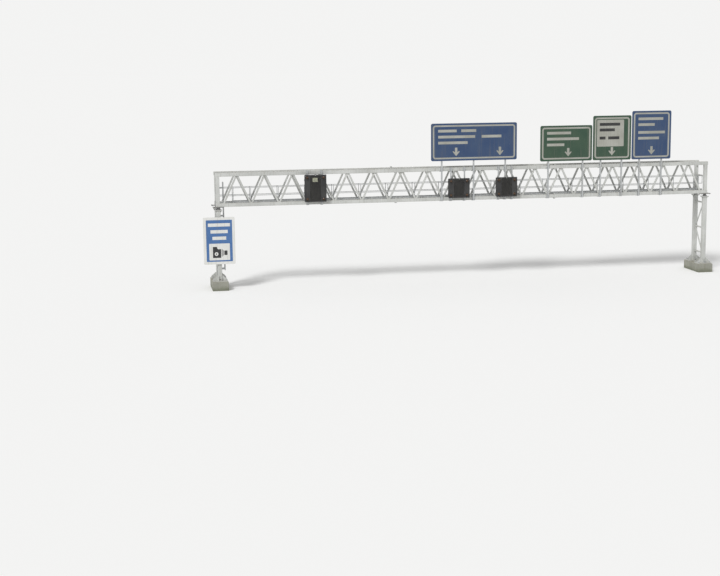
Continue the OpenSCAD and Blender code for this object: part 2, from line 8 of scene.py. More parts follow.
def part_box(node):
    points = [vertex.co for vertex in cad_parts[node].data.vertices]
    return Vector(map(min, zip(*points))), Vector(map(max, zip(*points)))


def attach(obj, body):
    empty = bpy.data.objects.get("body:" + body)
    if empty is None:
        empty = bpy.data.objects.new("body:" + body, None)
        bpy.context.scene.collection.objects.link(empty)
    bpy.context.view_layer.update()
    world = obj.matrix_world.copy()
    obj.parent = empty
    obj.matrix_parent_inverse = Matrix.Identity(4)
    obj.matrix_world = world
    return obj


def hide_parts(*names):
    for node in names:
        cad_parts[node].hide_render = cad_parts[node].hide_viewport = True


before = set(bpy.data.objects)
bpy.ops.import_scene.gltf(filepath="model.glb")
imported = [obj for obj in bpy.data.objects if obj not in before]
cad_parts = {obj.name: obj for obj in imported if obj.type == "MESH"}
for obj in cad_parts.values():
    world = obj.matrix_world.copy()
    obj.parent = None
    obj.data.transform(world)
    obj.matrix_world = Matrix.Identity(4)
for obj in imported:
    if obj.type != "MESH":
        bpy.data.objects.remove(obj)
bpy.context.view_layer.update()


# Viewpoint.
# A camera on a tall mast, about 95 m in front of the gantry and a little left of its left leg. It looks
# down on both legs through a long lens, whose length is given in the picture's pixels.
picture_width = 720
focal_length = 1350
film_width = 36
furthest_seen = 20000
mast_camera_at = Vector((-6.550, -94.812, 15.120))
turned_right = radians(9.961)
tipped_down = radians(9.151)
rolled = radians(-0.649)
viewer = bpy.data.objects.new("viewpoint", bpy.data.cameras.new("viewpoint"))
viewer.data.sensor_width = film_width
viewer.data.lens = film_width * focal_length / picture_width
viewer.data.clip_end = furthest_seen
aim = Matrix.Rotation(-turned_right, 4, "Z") @ Matrix.Rotation(pi / 2 - tipped_down, 4, "X")
viewer.matrix_world = Matrix.Translation(mast_camera_at) @ aim @ Matrix.Rotation(rolled, 4, "Z")
bpy.context.scene.collection.objects.link(viewer)
bpy.context.scene.camera = viewer
bpy.context.scene.view_settings.view_transform = "Standard"


# Studio.
# A plain pale floor, one broad soft lamp from the front left, and an even sky that fills the shadows.
# Seen directly or in a bright surface, the floor and the backdrop are near white, whatever light they give.
def is_socket(value):
    """Whether a value is the input or output of a node."""
    return isinstance(value, bpy.types.NodeSocket)


def node(tree, kind, inputs=None, **settings):
    """New node in a tree. An input that is given a socket is linked, and any other value is set."""
    made = tree.nodes.new(kind)
    for name, value in settings.items():
        setattr(made, name, value)
    for name, value in (inputs or {}).items():
        if is_socket(value):
            tree.links.new(value, made.inputs[name])
        else:
            made.inputs[name].default_value = value
    return made


def result(tree, kind, inputs=None, **settings):
    """First output of a new node."""
    return node(tree, kind, inputs, **settings).outputs[0]


def sum_of(kind, first, second=0.0):
    """Result of one sum on one or two values, in the tree of the one that is a socket."""
    tree = (first if is_socket(first) else second).id_data
    return result(tree, "ShaderNodeMath", {0: first, 1: second}, operation=kind)


def blend(share, first, second):
    """Colour that goes from the first to the second while the share goes from 0 to 1."""
    inputs = {0: share, 6: first, 7: second}
    return node(share.id_data, "ShaderNodeMix", inputs, data_type="RGBA").outputs[2]


def feed(shader, name, value):
    """Links a value to one input of a shader."""
    shader.id_data.links.new(value, shader.inputs[name])


def new_piece(name, mesh, finish):
    """Object that shows a mesh in one finish, in the scene's own frame."""
    piece = bpy.data.objects.new(name, mesh)
    bpy.context.scene.collection.objects.link(piece)
    mesh.materials.clear()
    mesh.materials.append(finish)
    return piece


def direct_rays(tree):
    """1 for a ray that shows the studio to the camera or in a bright surface, and 0 for one that lights."""
    ray = node(tree, "ShaderNodeLightPath").outputs
    bright = sum_of("MAXIMUM", ray["Is Glossy Ray"], ray["Is Transmission Ray"])
    return sum_of("MAXIMUM", ray["Is Camera Ray"], bright)


floor_half = 9000
floor_tone = (0.80, 0.80, 0.79, 1)
floor_seen_tone = (0.970, 0.970, 0.962, 1)
backdrop_tone = (0.90, 0.90, 0.893, 1)
sky_tone = (1, 1, 1, 1)
sky_light = 0.52
lamp_light = 1.9
lamp_spread = radians(14)
lamp_from = Vector((-0.46, -0.58, 0.68))

floor_paint = bpy.data.materials.new("studio_floor")
floor_paint.use_nodes = True
shader = floor_paint.node_tree.nodes["Principled BSDF"]
shader.inputs["Roughness"].default_value = 1
shader.inputs["Specular IOR Level"].default_value = 0
feed(shader, "Base Color", blend(direct_rays(floor_paint.node_tree), floor_tone, floor_seen_tone))
floor_mesh = bpy.data.meshes.new("studio_floor")
floor_corners = [(x * floor_half, y * floor_half, 0) for x, y in ((-1, -1), (1, -1), (1, 1), (-1, 1))]
floor_mesh.from_pydata(floor_corners, [], [(0, 1, 2, 3)])
new_piece("studio_floor", floor_mesh, floor_paint)

lamp = bpy.data.objects.new("soft_lamp", bpy.data.lights.new("soft_lamp", "SUN"))
lamp.data.energy = lamp_light
lamp.data.angle = lamp_spread
lamp.rotation_euler = lamp_from.to_track_quat("Z", "Y").to_euler()
bpy.context.scene.collection.objects.link(lamp)

sky = bpy.data.worlds.new("studio_sky")
sky.use_nodes = True
tree = sky.node_tree
tree.nodes.clear()
fill = result(tree, "ShaderNodeBackground", {"Color": sky_tone, "Strength": sky_light})
backdrop = result(tree, "ShaderNodeBackground", {"Color": backdrop_tone, "Strength": 1.0})
shown = result(tree, "ShaderNodeMixShader", {0: direct_rays(tree), 1: fill, 2: backdrop})
node(tree, "ShaderNodeOutputWorld", {"Surface": shown})
bpy.context.scene.world = sky


# Plinths.
# Two blocks of concrete cast in board shutters, one under each leg. Their edges are chamfered, and a bed
# of smooth grout lies under each base plate.
def new_finish(name, roughness, metallic=0.0):
    """New finish, with the coordinates and normal of the piece that wears it, and its shader."""
    finish = bpy.data.materials.new(name)
    finish.use_nodes = True
    shader = finish.node_tree.nodes["Principled BSDF"]
    shader.inputs["Roughness"].default_value = roughness
    shader.inputs["Metallic"].default_value = metallic
    return finish, node(finish.node_tree, "ShaderNodeTexCoord").outputs, shader


def from_to(value, low, high, at_low=0.0, at_high=1.0):
    """Value that goes from at_low to at_high while the given one goes from low to high."""
    inputs = {"Value": value, "From Min": low, "From Max": high, "To Min": at_low, "To Max": at_high}
    return result(value.id_data, "ShaderNodeMapRange", inputs)


def patches(place, scale, low, high, stretch=(1, 1, 1), detail=3.0):
    """Uneven patches: 0 where the noise is below low and 1 above high, drawn out along an axis by stretch."""
    tree = place["Object"].id_data
    grain = result(tree, "ShaderNodeMapping", {"Vector": place["Object"], "Scale": stretch})
    noise = result(tree, "ShaderNodeTexNoise", {"Vector": grain, "Scale": scale, "Detail": detail})
    return from_to(noise, low, high)


def streaks(place, across, down, low, high, detail=5.0):
    """Runs that rain draws down a surface, from noise with a scale across them and another down them."""
    return patches(place, 1, low, high, (across, across, down), detail)


def cells(place, scale, output="Distance", **settings):
    """Distance from the middle or the edge of random cells, or another of their outputs."""
    inputs = {"Vector": place["Object"], "Scale": scale}
    return node(place["Object"].id_data, "ShaderNodeTexVoronoi", inputs, **settings).outputs[output]


def times(first, second):
    """Product of two values."""
    return sum_of("MULTIPLY", first, second)


def layered(first, *layers):
    """First colour, covered in turn by (colour, mask) or (colour, mask, share of 0 to 1) layers."""
    colour = (*first, 1)
    for above, mask, *share in layers:
        mask = times(mask, share[0]) if share else mask
        colour = blend(mask, colour, (*above, 1))
    return colour


def along(vector, axis):
    """Part of a vector along one axis."""
    return node(vector.id_data, "ShaderNodeSeparateXYZ", {0: vector}).outputs[axis]


def facing_up(place, low, high):
    """0 to 1 while the upward part of the surface's normal goes from low to high."""
    return from_to(along(place["Normal"], "Z"), low, high)


def joints(value, pitch, width, core=0.3):
    """1 on the core, a share of the width, of lines that repeat every pitch, fading to 0 between them."""
    share = sum_of("FRACT", sum_of("DIVIDE", value, pitch))
    edge = sum_of("ABSOLUTE", sum_of("SUBTRACT", share, 0.5))
    return from_to(edge, 0.5 - width / pitch, 0.5 - core * width / pitch)


def relief(shader, *layers):
    """Bumps on a shader, from (height from 0 to 1, depth in metres) layers."""
    normal = None
    for height, depth in layers:
        inputs = {"Height": height, "Distance": depth, "Strength": 1.0}
        if normal:
            inputs["Normal"] = normal
        normal = result(shader.id_data, "ShaderNodeBump", inputs)
    feed(shader, "Normal", normal)


def dress(slot, finish, *names):
    """Puts a finish on CAD nodes that keep their own shape."""
    for name in names:
        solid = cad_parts[name]
        solid.data.materials.clear()
        solid.data.materials.append(finish)


plinth_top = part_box("left_plinth")[1].z
grout_depth = 0.030
grout_edge = 0.002
board_width = 0.155
board_gap = 0.005
board_waver = 0.007
damp_rise = 0.34
dark_cement = (0.27, 0.27, 0.23)
pale_cement = (0.40, 0.40, 0.34)
board_stain = (0.25, 0.255, 0.215)
lime_bloom = (0.49, 0.485, 0.43)
damp_moss = (0.13, 0.145, 0.095)
rain_stain = (0.19, 0.17, 0.13)
gap_shadow = (0.18, 0.175, 0.15)
bubble_shadow = (0.12, 0.115, 0.10)
settled_silt = (0.27, 0.25, 0.19)
pale_grout = (0.46, 0.46, 0.42)

cast_concrete, place, shader = new_finish("cast_concrete", 0.9)
height = along(place["Object"], "Z")
board = sum_of("FLOOR", sum_of("DIVIDE", height, board_width))
board_tone = result(board.id_data, "ShaderNodeTexWhiteNoise", {"W": board}, noise_dimensions="1D")
uneven = times(patches(place, 2.2, 0.2, 0.8, detail=6), damp_rise)
damp = from_to(sum_of("SUBTRACT", height, uneven), -0.10, 0.16, 1.0, 0.0)
waver = times(patches(place, 6, 0.2, 0.8), board_waver)
board_lines = joints(sum_of("ADD", height, waver), board_width, board_gap)
board_lines = times(board_lines, patches(place, 3, 0.30, 0.60))
bubbles = from_to(cells(place, 30), 0.05, 0.13, 1.0, 0.0)
bubbles = times(bubbles, patches(place, 7, 0.45, 0.6))
silt = times(facing_up(place, 0.6, 0.95), patches(place, 3, 0.3, 0.6))
grout_foot = plinth_top - grout_depth
cement = layered(
    dark_cement,
    (pale_cement, patches(place, 1.4, 0.35, 0.7)),
    (board_stain, board_tone, 0.45),
    (lime_bloom, patches(place, 34, 0.4, 0.75), 0.4),
    (damp_moss, damp, 0.70),
    (rain_stain, streaks(place, 9, 0.7, 0.52, 0.72, detail=3), 0.45),
    (gap_shadow, board_lines, 0.35),
    (bubble_shadow, bubbles, 0.7),
    (settled_silt, silt, 0.6),
    (pale_grout, from_to(height, grout_foot, grout_foot + grout_edge), 0.7))
feed(shader, "Base Color", cement)
relief(shader,
       (patches(place, 60, 0.2, 0.8), 0.001),
       (patches(place, 1, 0.2, 0.8, (3, 3, 60)), 0.0015),
       (sum_of("SUBTRACT", 1.0, bubbles), 0.004),
       (sum_of("SUBTRACT", 1.0, board_lines), 0.003))
dress("concrete", cast_concrete, "left_plinth", "right_plinth")


# Holding-down bolts.
# Eight galvanised bolts cast into the plinth for each column, set out round its base plate, each with a
# washer, a nut and a lock nut, and some thread left standing above them.
def new_tree(name, **sizes):
    """Geometry tree with one named input for each size and one for the finish, and its input sockets."""
    tree = bpy.data.node_groups.new(name, "GeometryNodeTree")
    tree.interface.new_socket("Geometry", in_out="INPUT", socket_type="NodeSocketGeometry")
    tree.interface.new_socket("Geometry", in_out="OUTPUT", socket_type="NodeSocketGeometry")
    for size, kind in {**sizes, "finish": "Material"}.items():
        tree.interface.new_socket(size, in_out="INPUT", socket_type="NodeSocket" + kind)
    return tree, node(tree, "NodeGroupInput").outputs


def close_tree(shape, finish, smooth=False):
    """Ends a tree: its copies are made real, shaded and given their finish."""
    tree = shape.id_data
    real = result(tree, "GeometryNodeRealizeInstances", {"Geometry": shape})
    shaded = result(tree, "GeometryNodeSetShadeSmooth", {"Geometry": real, "Shade Smooth": smooth})
    dressed = result(tree, "GeometryNodeSetMaterial", {"Geometry": shaded, "Material": finish})
    node(tree, "NodeGroupOutput", {"Geometry": dressed})


def grown(name, tree, base, **sizes):
    """Piece that a geometry tree makes from a base mesh, turned into a plain mesh."""
    piece = bpy.data.objects.new(name, base)
    bpy.context.scene.collection.objects.link(piece)
    growth = piece.modifiers.new("growth", "NODES")
    growth.node_group = tree
    for socket in tree.interface.items_tree:
        if socket.in_out == "INPUT" and socket.name in sizes:
            growth[socket.identifier] = sizes[socket.name]
    evaluated = piece.evaluated_get(bpy.context.evaluated_depsgraph_get())
    plain = bpy.data.meshes.new_from_object(evaluated)
    piece.modifiers.remove(growth)
    piece.data = plain
    return piece


def marks(places):
    """Base mesh of loose points, from (point, direction that the copy on it stands up in) pairs."""
    mesh = bpy.data.meshes.new("marks")
    mesh.from_pydata([point for point, up in places], [], [])
    stands = mesh.attributes.new("stands", "FLOAT_VECTOR", "POINT")
    for datum, (point, up) in zip(stands.data, places):
        datum.vector = up
    return mesh


def joined(*shapes):
    """Several shapes as one."""
    tree = shapes[0].id_data
    whole = node(tree, "GeometryNodeJoinGeometry")
    for shape in shapes:
        tree.links.new(shape, whole.inputs[0])
    return whole.outputs[0]


def vector_of(tree, x=0.0, y=0.0, z=0.0):
    """Vector with one, two or three parts given."""
    return result(tree, "ShaderNodeCombineXYZ", {0: x, 1: y, 2: z})


def moved(shape, **change):
    """A shape after a Translation, a Rotation or a Scale."""
    return result(shape.id_data, "GeometryNodeTransform", {"Geometry": shape, **change})


def round_bar(sides, width, tall, low=0.0):
    """Round or six-sided bar that stands on the height low, with a width across its corners."""
    tree = width.id_data
    radius = times(width, 0.5)
    bar = result(tree, "GeometryNodeMeshCylinder", {"Vertices": sides, "Radius": radius, "Depth": tall})
    middle = result(tree, "ShaderNodeMath", {0: tall, 1: 0.5, 2: low}, operation="MULTIPLY_ADD")
    return moved(bar, Translation=vector_of(tree, z=middle))


def random_between(tree, low, high, seed):
    """Random value for each copy or point."""
    inputs = {2: low, 3: high, "Seed": seed}
    return node(tree, "FunctionNodeRandomValue", inputs, data_type="FLOAT").outputs[1]


def leaning(tree, axis="Z", pivot="AUTO"):
    """Rotation that points an axis of a copy in the direction that its mark gives."""
    stands = result(tree, "GeometryNodeInputNamedAttribute", {"Name": "stands"}, data_type="FLOAT_VECTOR")
    return result(tree, "FunctionNodeAlignRotationToVector", {"Vector": stands}, axis=axis, pivot_axis=pivot)


def copied(marked, shape, rotation=None):
    """Copies of a shape on each point of a mesh."""
    tree = shape.id_data
    inputs = {"Points": result(tree, "GeometryNodeMeshToPoints", {"Mesh": marked}), "Instance": shape}
    if rotation:
        inputs["Rotation"] = rotation
    return result(tree, "GeometryNodeInstanceOnPoints", inputs)


washer_width_share = 2.2
washer_height_share = 0.16
nut_width_share = 1.85
nut_height_share = 0.85
bolt_tree, given = new_tree("bolt_end", shank="Float", thread="Float", seed="Int")
washer_height = times(given["shank"], washer_height_share)
nut_height = times(given["shank"], nut_height_share)
nut_top = sum_of("ADD", washer_height, nut_height)
bolt_end = joined(
    round_bar(14, times(given["shank"], washer_width_share), washer_height),
    round_bar(6, times(given["shank"], nut_width_share), nut_height, washer_height),
    round_bar(8, given["shank"], given["thread"], nut_top))
turn = random_between(bolt_tree, 0.0, pi / 3, given["seed"])
turned = result(bolt_tree, "FunctionNodeAxisAngleToRotation", {"Axis": (0, 0, 1), "Angle": turn})
placed = result(bolt_tree, "FunctionNodeRotateRotation", {0: leaning(bolt_tree), 1: turned},
                rotation_space="LOCAL")
close_tree(copied(given["Geometry"], bolt_end, placed), given["finish"])

dull_zinc = (0.42, 0.43, 0.43)
bright_zinc = (0.60, 0.61, 0.61)
zinc_rust = (0.30, 0.24, 0.17)
zinc, place, shader = new_finish("bright_zinc", 0.42, 0.85)
zinc_tone = layered(
    dull_zinc,
    (bright_zinc, patches(place, 18, 0.35, 0.65)),
    (zinc_rust, patches(place, 6, 0.62, 0.75)))
feed(shader, "Base Color", zinc_tone)
relief(shader, (patches(place, 150, 0.3, 0.7), 0.0006))


def bolts_at(name, places, shank, thread, seed):
    """Piece of zinc-coated bolt ends, each with its washer and nut."""
    return grown(name, bolt_tree, marks(places), shank=shank, thread=thread, seed=seed, finish=zinc)


columns = [f"{leg}_leg_{row}_column" for leg in ("left", "right") for row in ("front", "back")]
column_middles = [sum(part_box(column), Vector()) / 2 for column in columns]
base_plate = 0.040
bolt_x = 0.430
bolt_y = 0.300
anchor_shank = 0.045
anchor_thread = 0.060
lock_nut_shank = anchor_shank * 0.92
lock_nut_thread = 0.030
lock_nut_lift = anchor_shank * 1.02
up = Vector((0, 0, 1))
around = [(x, y) for x in (-1, 0, 1) for y in (-1, 0, 1) if x or y]
nut_places, lock_nut_places = [], []
for middle in column_middles:
    for x, y in around:
        foot = Vector((middle.x + x * bolt_x, middle.y + y * bolt_y, plinth_top + base_plate))
        nut_places.append((foot, up))
        lock_nut_places.append((foot + up * lock_nut_lift, up))
nuts = bolts_at("holding_down_nuts", nut_places, anchor_shank, anchor_thread, seed=1)
lock_nuts = bolts_at("holding_down_lock_nuts", lock_nut_places, lock_nut_shank, lock_nut_thread, seed=2)
for piece in (nuts, lock_nuts):
    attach(piece, "root")


# Painted steelwork.
# Square columns, the ties between them and the lattice of the truss are welded from tube and plate,
# blasted, and painted pale grey. Rain has drawn grime down them, and dirt lies on every ledge.
grey_paint = (0.50, 0.51, 0.49)
chalky_paint = (0.62, 0.63, 0.61)
scuffed_paint = (0.44, 0.44, 0.40)
rain_grime = (0.30, 0.285, 0.24)
ledge_dirt = (0.33, 0.31, 0.25)
# Colour of the painted shade on the faces of the steel that look down.
underside_shade = (0.36, 0.34, 0.29)
edge_rust = (0.17, 0.075, 0.035)
worn_edge = 0.010

steel_paint, place, shader = new_finish("weathered_grey_paint", 0.48)
rain = streaks(place, 17, 0.55, 0.50, 0.78)
ledge = times(facing_up(place, 0.55, 0.9), patches(place, 5, 0.30, 0.70))
# Faces that look down are darkened in patches: painted shade under the steel.
underside_shade_mask = times(facing_up(place, -0.5, -0.9), patches(place, 2.5, 0.3, 0.7))
tree = steel_paint.node_tree
normal = node(tree, "ShaderNodeNewGeometry").outputs["Normal"]
softened = result(tree, "ShaderNodeBevel", {"Radius": worn_edge}, samples=4)
flat = node(tree, "ShaderNodeVectorMath", {0: softened, 1: normal}, operation="DOT_PRODUCT").outputs["Value"]
chipped = times(from_to(flat, 0.995, 0.93), patches(place, 11, 0.56, 0.62, detail=6))
paint = layered(
    grey_paint,
    (chalky_paint, patches(place, 0.6, 0.35, 0.65)),
    (scuffed_paint, patches(place, 9, 0.45, 0.8), 0.35),
    (rain_grime, rain, 0.50),
    (ledge_dirt, ledge),
    (underside_shade, underside_shade_mask, 0.35),
    (edge_rust, chipped))
feed(shader, "Base Color", paint)
feed(shader, "Roughness", from_to(rain, 0.0, 1.0, 0.42, 0.70))
relief(shader, (patches(place, 130, 0.2, 0.8), 0.0005), (patches(place, 4, 0.2, 0.8), 0.0015))

truss_sides = [f"{side}_truss_{section}" for side in ("front", "back")
               for section in ("left", "middle", "right")]
dress("gantry_steel", steel_paint, *columns, "left_leg_bracing", "right_leg_bracing", *truss_sides,
      "left_end_frame", "right_end_frame", "top_bracing", "bottom_bracing")


# Welds.
# A fillet bead runs round each pair of diagonals where it meets a chord, round the end posts and cross
# struts, and round the head and foot of each column. It is painted over with the steel.
bay_count = 18
end_panel = 0.360
chord_side = 0.240
strut_side = 0.100
diagonal_side = 0.120
tube_corner = 0.014
column_side = 0.300
column_corner = 0.030
cap_plate = 0.040
rail_tube = 0.042
rail_sides = 8
bead_radius = 0.009
bead_ripple = 0.030
end_low, end_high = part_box("left_end_frame")
bearing_low, bearing_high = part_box("left_bearings")
floor_low, floor_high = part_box("walkway_floor")
rails_low, rails_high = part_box("walkway_handrails")
chord_half = chord_side / 2
strut_half = strut_side / 2
left_x = (end_low.x + end_high.x) / 2
right_x = sum(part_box("right_end_frame"), Vector()).x / 2
bay = (right_x - left_x - 2 * end_panel) / bay_count
chord_inner_y = end_high.y
truss_y = chord_inner_y + chord_half
bottom_z = end_low.z + strut_half
top_z = end_high.z - strut_half
rail_z = rails_high.z - rail_tube / 2 * cos(pi / rail_sides)
hatch_x = floor_low.x + strut_half
bottom_nodes = [left_x + end_panel + i * bay for i in range(1, bay_count + 1)]
top_nodes = [left_x + end_panel + (i + 0.5) * bay for i in range(bay_count)]
lean = bay / 2 / (top_z - bottom_z)
foot_shift = lean * chord_half
foot_half = diagonal_side / 2 * hypot(1, lean)
diagonal_feet = [(x, bottom_z + chord_half, foot_shift + foot_half) for x in bottom_nodes[:-1]]
diagonal_feet += [(x, top_z - chord_half, foot_shift + foot_half) for x in top_nodes]
diagonal_feet += [(x, bottom_z + chord_half, foot_half)
                  for x in (left_x + end_panel + foot_shift, right_x - end_panel - foot_shift)]
strut_ends = [(x, bottom_z) for x in (hatch_x, *bottom_nodes)] + [(x, top_z) for x in top_nodes]
strut_ends += [(x, z) for x in (left_x, right_x) for z in (bottom_z, rail_z, top_z)]
x_axis = Vector((1, 0, 0))
y_axis = Vector((0, 1, 0))


def tube_ring(middle, across, upward, half_across, half_up, corner):
    """The eight corners of a tube's outline about a point, in the plane of two directions."""
    a, u, c = half_across, half_up, corner
    outline = ((a, c - u), (a, u - c), (a - c, u), (c - a, u),
               (-a, u - c), (-a, c - u), (c - a, -u), (a - c, -u))
    return [middle + across * x + upward * y for x, y in outline]


rings = []
for y in (-truss_y, truss_y):
    for x, z, half_across in diagonal_feet:
        foot = Vector((x, y, z))
        rings.append(tube_ring(foot, x_axis, y_axis, half_across, diagonal_side / 2, tube_corner))
    for z in (bottom_z + chord_half, top_z - chord_half):
        for x in (left_x, right_x):
            rings.append(tube_ring(Vector((x, y, z)), x_axis, y_axis, chord_half, chord_half, tube_corner))
for x, z in strut_ends:
    for y in (-chord_inner_y, chord_inner_y):
        rings.append(tube_ring(Vector((x, y, z)), x_axis, up, strut_half, strut_half, tube_corner))
for middle in column_middles:
    for z in (plinth_top + base_plate, bearing_low.z - cap_plate):
        foot = Vector((middle.x, middle.y, z))
        rings.append(tube_ring(foot, x_axis, y_axis, column_side / 2, column_side / 2, column_corner))
ring_size = len(rings[0])
ring_edges = [(ring_size * r + i, ring_size * r + (i + 1) % ring_size)
              for r in range(len(rings)) for i in range(ring_size)]
weld_lines = bpy.data.meshes.new("weld_lines")
weld_lines.from_pydata([point for ring in rings for point in ring], ring_edges, [])

bead_tree, given = new_tree("weld_bead", radius="Float", ripple="Float", seed="Int")
line = result(bead_tree, "GeometryNodeMeshToCurve", {"Mesh": given["Geometry"]})
line = result(bead_tree, "GeometryNodeResampleCurve", {"Curve": line, "Length": given["ripple"]},
              mode="LENGTH")
profile = result(bead_tree, "GeometryNodeCurvePrimitiveCircle", {"Resolution": 6, "Radius": given["radius"]})
swell = random_between(bead_tree, 0.8, 1.2, given["seed"])
bead = result(bead_tree, "GeometryNodeCurveToMesh", {"Curve": line, "Profile Curve": profile, "Scale": swell})
close_tree(bead, given["finish"], smooth=True)
welds = grown("welds", bead_tree, weld_lines, radius=bead_radius, ripple=bead_ripple, seed=3,
              finish=steel_paint)
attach(welds, "root")


# Bearings.
# A pot bearing sits on each column's top plate and carries the truss on a sole plate. They are dark
# enamelled castings and plates, greased, with four bolts through the top plate and four through the sole.
dark_enamel = (0.16, 0.165, 0.17)
worn_enamel = (0.24, 0.24, 0.235)
bearing_rust = (0.20, 0.12, 0.07)
bearing_dust = (0.33, 0.31, 0.26)
bearing_enamel, place, shader = new_finish("bearing_enamel", 0.45, 0.3)
enamel = layered(
    dark_enamel,
    (worn_enamel, patches(place, 5, 0.35, 0.7)),
    (bearing_rust, patches(place, 14, 0.58, 0.72), 0.6),
    (bearing_dust, facing_up(place, 0.6, 0.9), 0.6))
feed(shader, "Base Color", enamel)
feed(shader, "Roughness", from_to(patches(place, 9, 0.3, 0.7), 0.0, 1.0, 0.35, 0.6))
relief(shader, (patches(place, 90, 0.2, 0.8), 0.0006))
dress("bearing_steel", bearing_enamel, "left_bearings", "right_bearings")

cap_bolt_x = 0.205
sole_bolt_x = 0.330
plate_bolt_y = 0.165
sole_plate = 0.040
bearing_bolts = []
for middle in column_middles:
    for side in (-1, 1):
        for y in (middle.y - plate_bolt_y, middle.y + plate_bolt_y):
            for reach, top, plate in ((cap_bolt_x, bearing_low.z, cap_plate),
                                      (sole_bolt_x, bearing_high.z, sole_plate)):
                x = middle.x + side * reach
                bearing_bolts += [((x, y, top), up), ((x, y, top - plate), -up)]
bolts = bolts_at("bearing_bolts", bearing_bolts, shank=0.024, thread=0.012, seed=4)
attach(bolts, "root")


# Section joints.
# The truss comes in three sections, bolted end to end through thick plates on the four chords. Each plate
# stands above and below its chord, with three bolts in each lip.
splice_plate = 0.030
lip_bolt_gap = 0.042
lip_bolt_y = 0.078
lip_bolt_rise = chord_half + lip_bolt_gap
lip_levels = [chord_z + side * lip_bolt_rise for chord_z in (bottom_z, top_z) for side in (-1, 1)]
splice_bolts = []
for section in ("front_truss_middle", "front_truss_right"):
    splice_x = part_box(section)[0].x
    for z in lip_levels:
        for truss in (-truss_y, truss_y):
            for y in (truss - lip_bolt_y, truss, truss + lip_bolt_y):
                for side in (-1, 1):
                    splice_bolts.append(((splice_x + side * splice_plate, y, z), x_axis * side))
bolts = bolts_at("section_joint_bolts", splice_bolts, shank=0.024, thread=0.014, seed=5)
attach(bolts, "root")


# Walkway floor.
# Galvanised steel grating in one panel to a bay, and a short one at the right leg: flat bars on edge that
# span between the cross struts, rods across them, and a flat bar that closes each end.
def block(tree, x, y, z):
    """Block with three sizes, about the middle."""
    return result(tree, "GeometryNodeMeshCube", {"Size": vector_of(tree, x, y, z)})


dull_crystal = (0.43, 0.445, 0.45)
pale_crystal = (0.56, 0.575, 0.58)
white_rust = (0.62, 0.62, 0.60)
run_grime = (0.30, 0.28, 0.24)
floor_dust = (0.34, 0.32, 0.27)
galvanised, place, shader = new_finish("weathered_galvanising", 0.5, 0.7)
crystal = along(cells(place, 45, "Color"), "X")
dusty = times(facing_up(place, 0.6, 0.9), patches(place, 6, 0.35, 0.7))
coat = layered(
    dull_crystal,
    (pale_crystal, crystal),
    (white_rust, patches(place, 2.2, 0.50, 0.75), 0.5),
    (run_grime, streaks(place, 15, 0.7, 0.52, 0.78), 0.5),
    (floor_dust, dusty, 0.8))
feed(shader, "Base Color", coat)
feed(shader, "Metallic", from_to(dusty, 0.0, 1.0, 0.75, 0.1))
feed(shader, "Roughness", from_to(crystal, 0.0, 1.0, 0.42, 0.60))
relief(shader, (patches(place, 70, 0.2, 0.8), 0.0004))

nearly_flush = 0.48
grating_tree, given = new_tree("bar_grating", width="Float", depth="Float", bar="Float", pitch="Float",
                               bars="Int", rod="Float", rod_pitch="Float")
panel_line = result(grating_tree, "GeometryNodeMeshToCurve", {"Mesh": given["Geometry"]})
section = result(grating_tree, "GeometryNodeCurvePrimitiveQuadrilateral",
                 {"Width": given["bar"], "Height": given["depth"]})
blade = result(grating_tree, "GeometryNodeCurveToMesh",
               {"Curve": panel_line, "Profile Curve": section, "Fill Caps": True})
first_y = times(sum_of("SUBTRACT", given["width"], given["bar"]), -0.5)
row = result(grating_tree, "GeometryNodeMeshLine",
             {"Count": given["bars"], "Start Location": vector_of(grating_tree, y=first_y),
              "Offset": vector_of(grating_tree, y=given["pitch"])})
rod_rise = times(sum_of("SUBTRACT", given["depth"], given["rod"]), nearly_flush)
rod = moved(block(grating_tree, given["rod"], given["width"], given["rod"]),
            Translation=vector_of(grating_tree, z=rod_rise))
rod_places = result(grating_tree, "GeometryNodeResampleCurve",
                    {"Curve": panel_line, "Length": given["rod_pitch"]}, mode="LENGTH")
rods = result(grating_tree, "GeometryNodeInstanceOnPoints", {"Points": rod_places, "Instance": rod})
end_bars = copied(given["Geometry"], block(grating_tree, given["bar"], given["width"], given["depth"]))
close_tree(joined(copied(row, blade), rods, end_bars), given["finish"])

bearing_bar = 0.005
bar_pitch = 0.041
rod_pitch = 0.100
rod_width = 0.007
panel_joint = 0.006
floor_depth = floor_high.z - floor_low.z
floor_width = floor_high.y - floor_low.y
bar_gaps = round((floor_width - bearing_bar) / bar_pitch)
panel_starts = [floor_low.x] + [x + panel_joint / 2 for x in bottom_nodes]
panel_ends = [x - panel_joint / 2 for x in bottom_nodes] + [floor_high.x]
panel_points = []
for start, end in zip(panel_starts, panel_ends):
    for x in (start + bearing_bar / 2, end - bearing_bar / 2):
        panel_points.append((x, 0, floor_low.z + floor_depth / 2))
panel_lines = bpy.data.meshes.new("panel_lines")
panel_lines.from_pydata(panel_points, [(2 * i, 2 * i + 1) for i in range(len(panel_starts))], [])
grating = grown("walkway_grating", grating_tree, panel_lines, width=floor_width, depth=floor_depth,
                bar=bearing_bar, pitch=(floor_width - bearing_bar) / bar_gaps, bars=bar_gaps + 1,
                rod=rod_width, rod_pitch=rod_pitch, finish=galvanised)
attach(grating, "root")
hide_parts("walkway_floor")


# Handrails.
# Galvanised tube rails in two heights on square posts, with a folded toe board. Sleeves clamp the rails to
# the posts, an upright joins them at each end, and bolts hold the posts' feet and the toe board.
plate_tree, given = new_tree("flat_plates", size="Vector")
plate = result(plate_tree, "GeometryNodeMeshCube", {"Size": given["size"]})
close_tree(copied(given["Geometry"], plate, leaning(plate_tree)), given["finish"])
rod_tree, given = new_tree("round_rods", width="Float", length="Float", sides="Int")
rod = round_bar(given["sides"], given["width"], given["length"])
close_tree(copied(given["Geometry"], rod, leaning(rod_tree)), given["finish"])


def plates_at(name, places, size, finish=galvanised):
    """Piece of flat plates, all of one size."""
    return grown(name, plate_tree, marks(places), size=size, finish=finish)


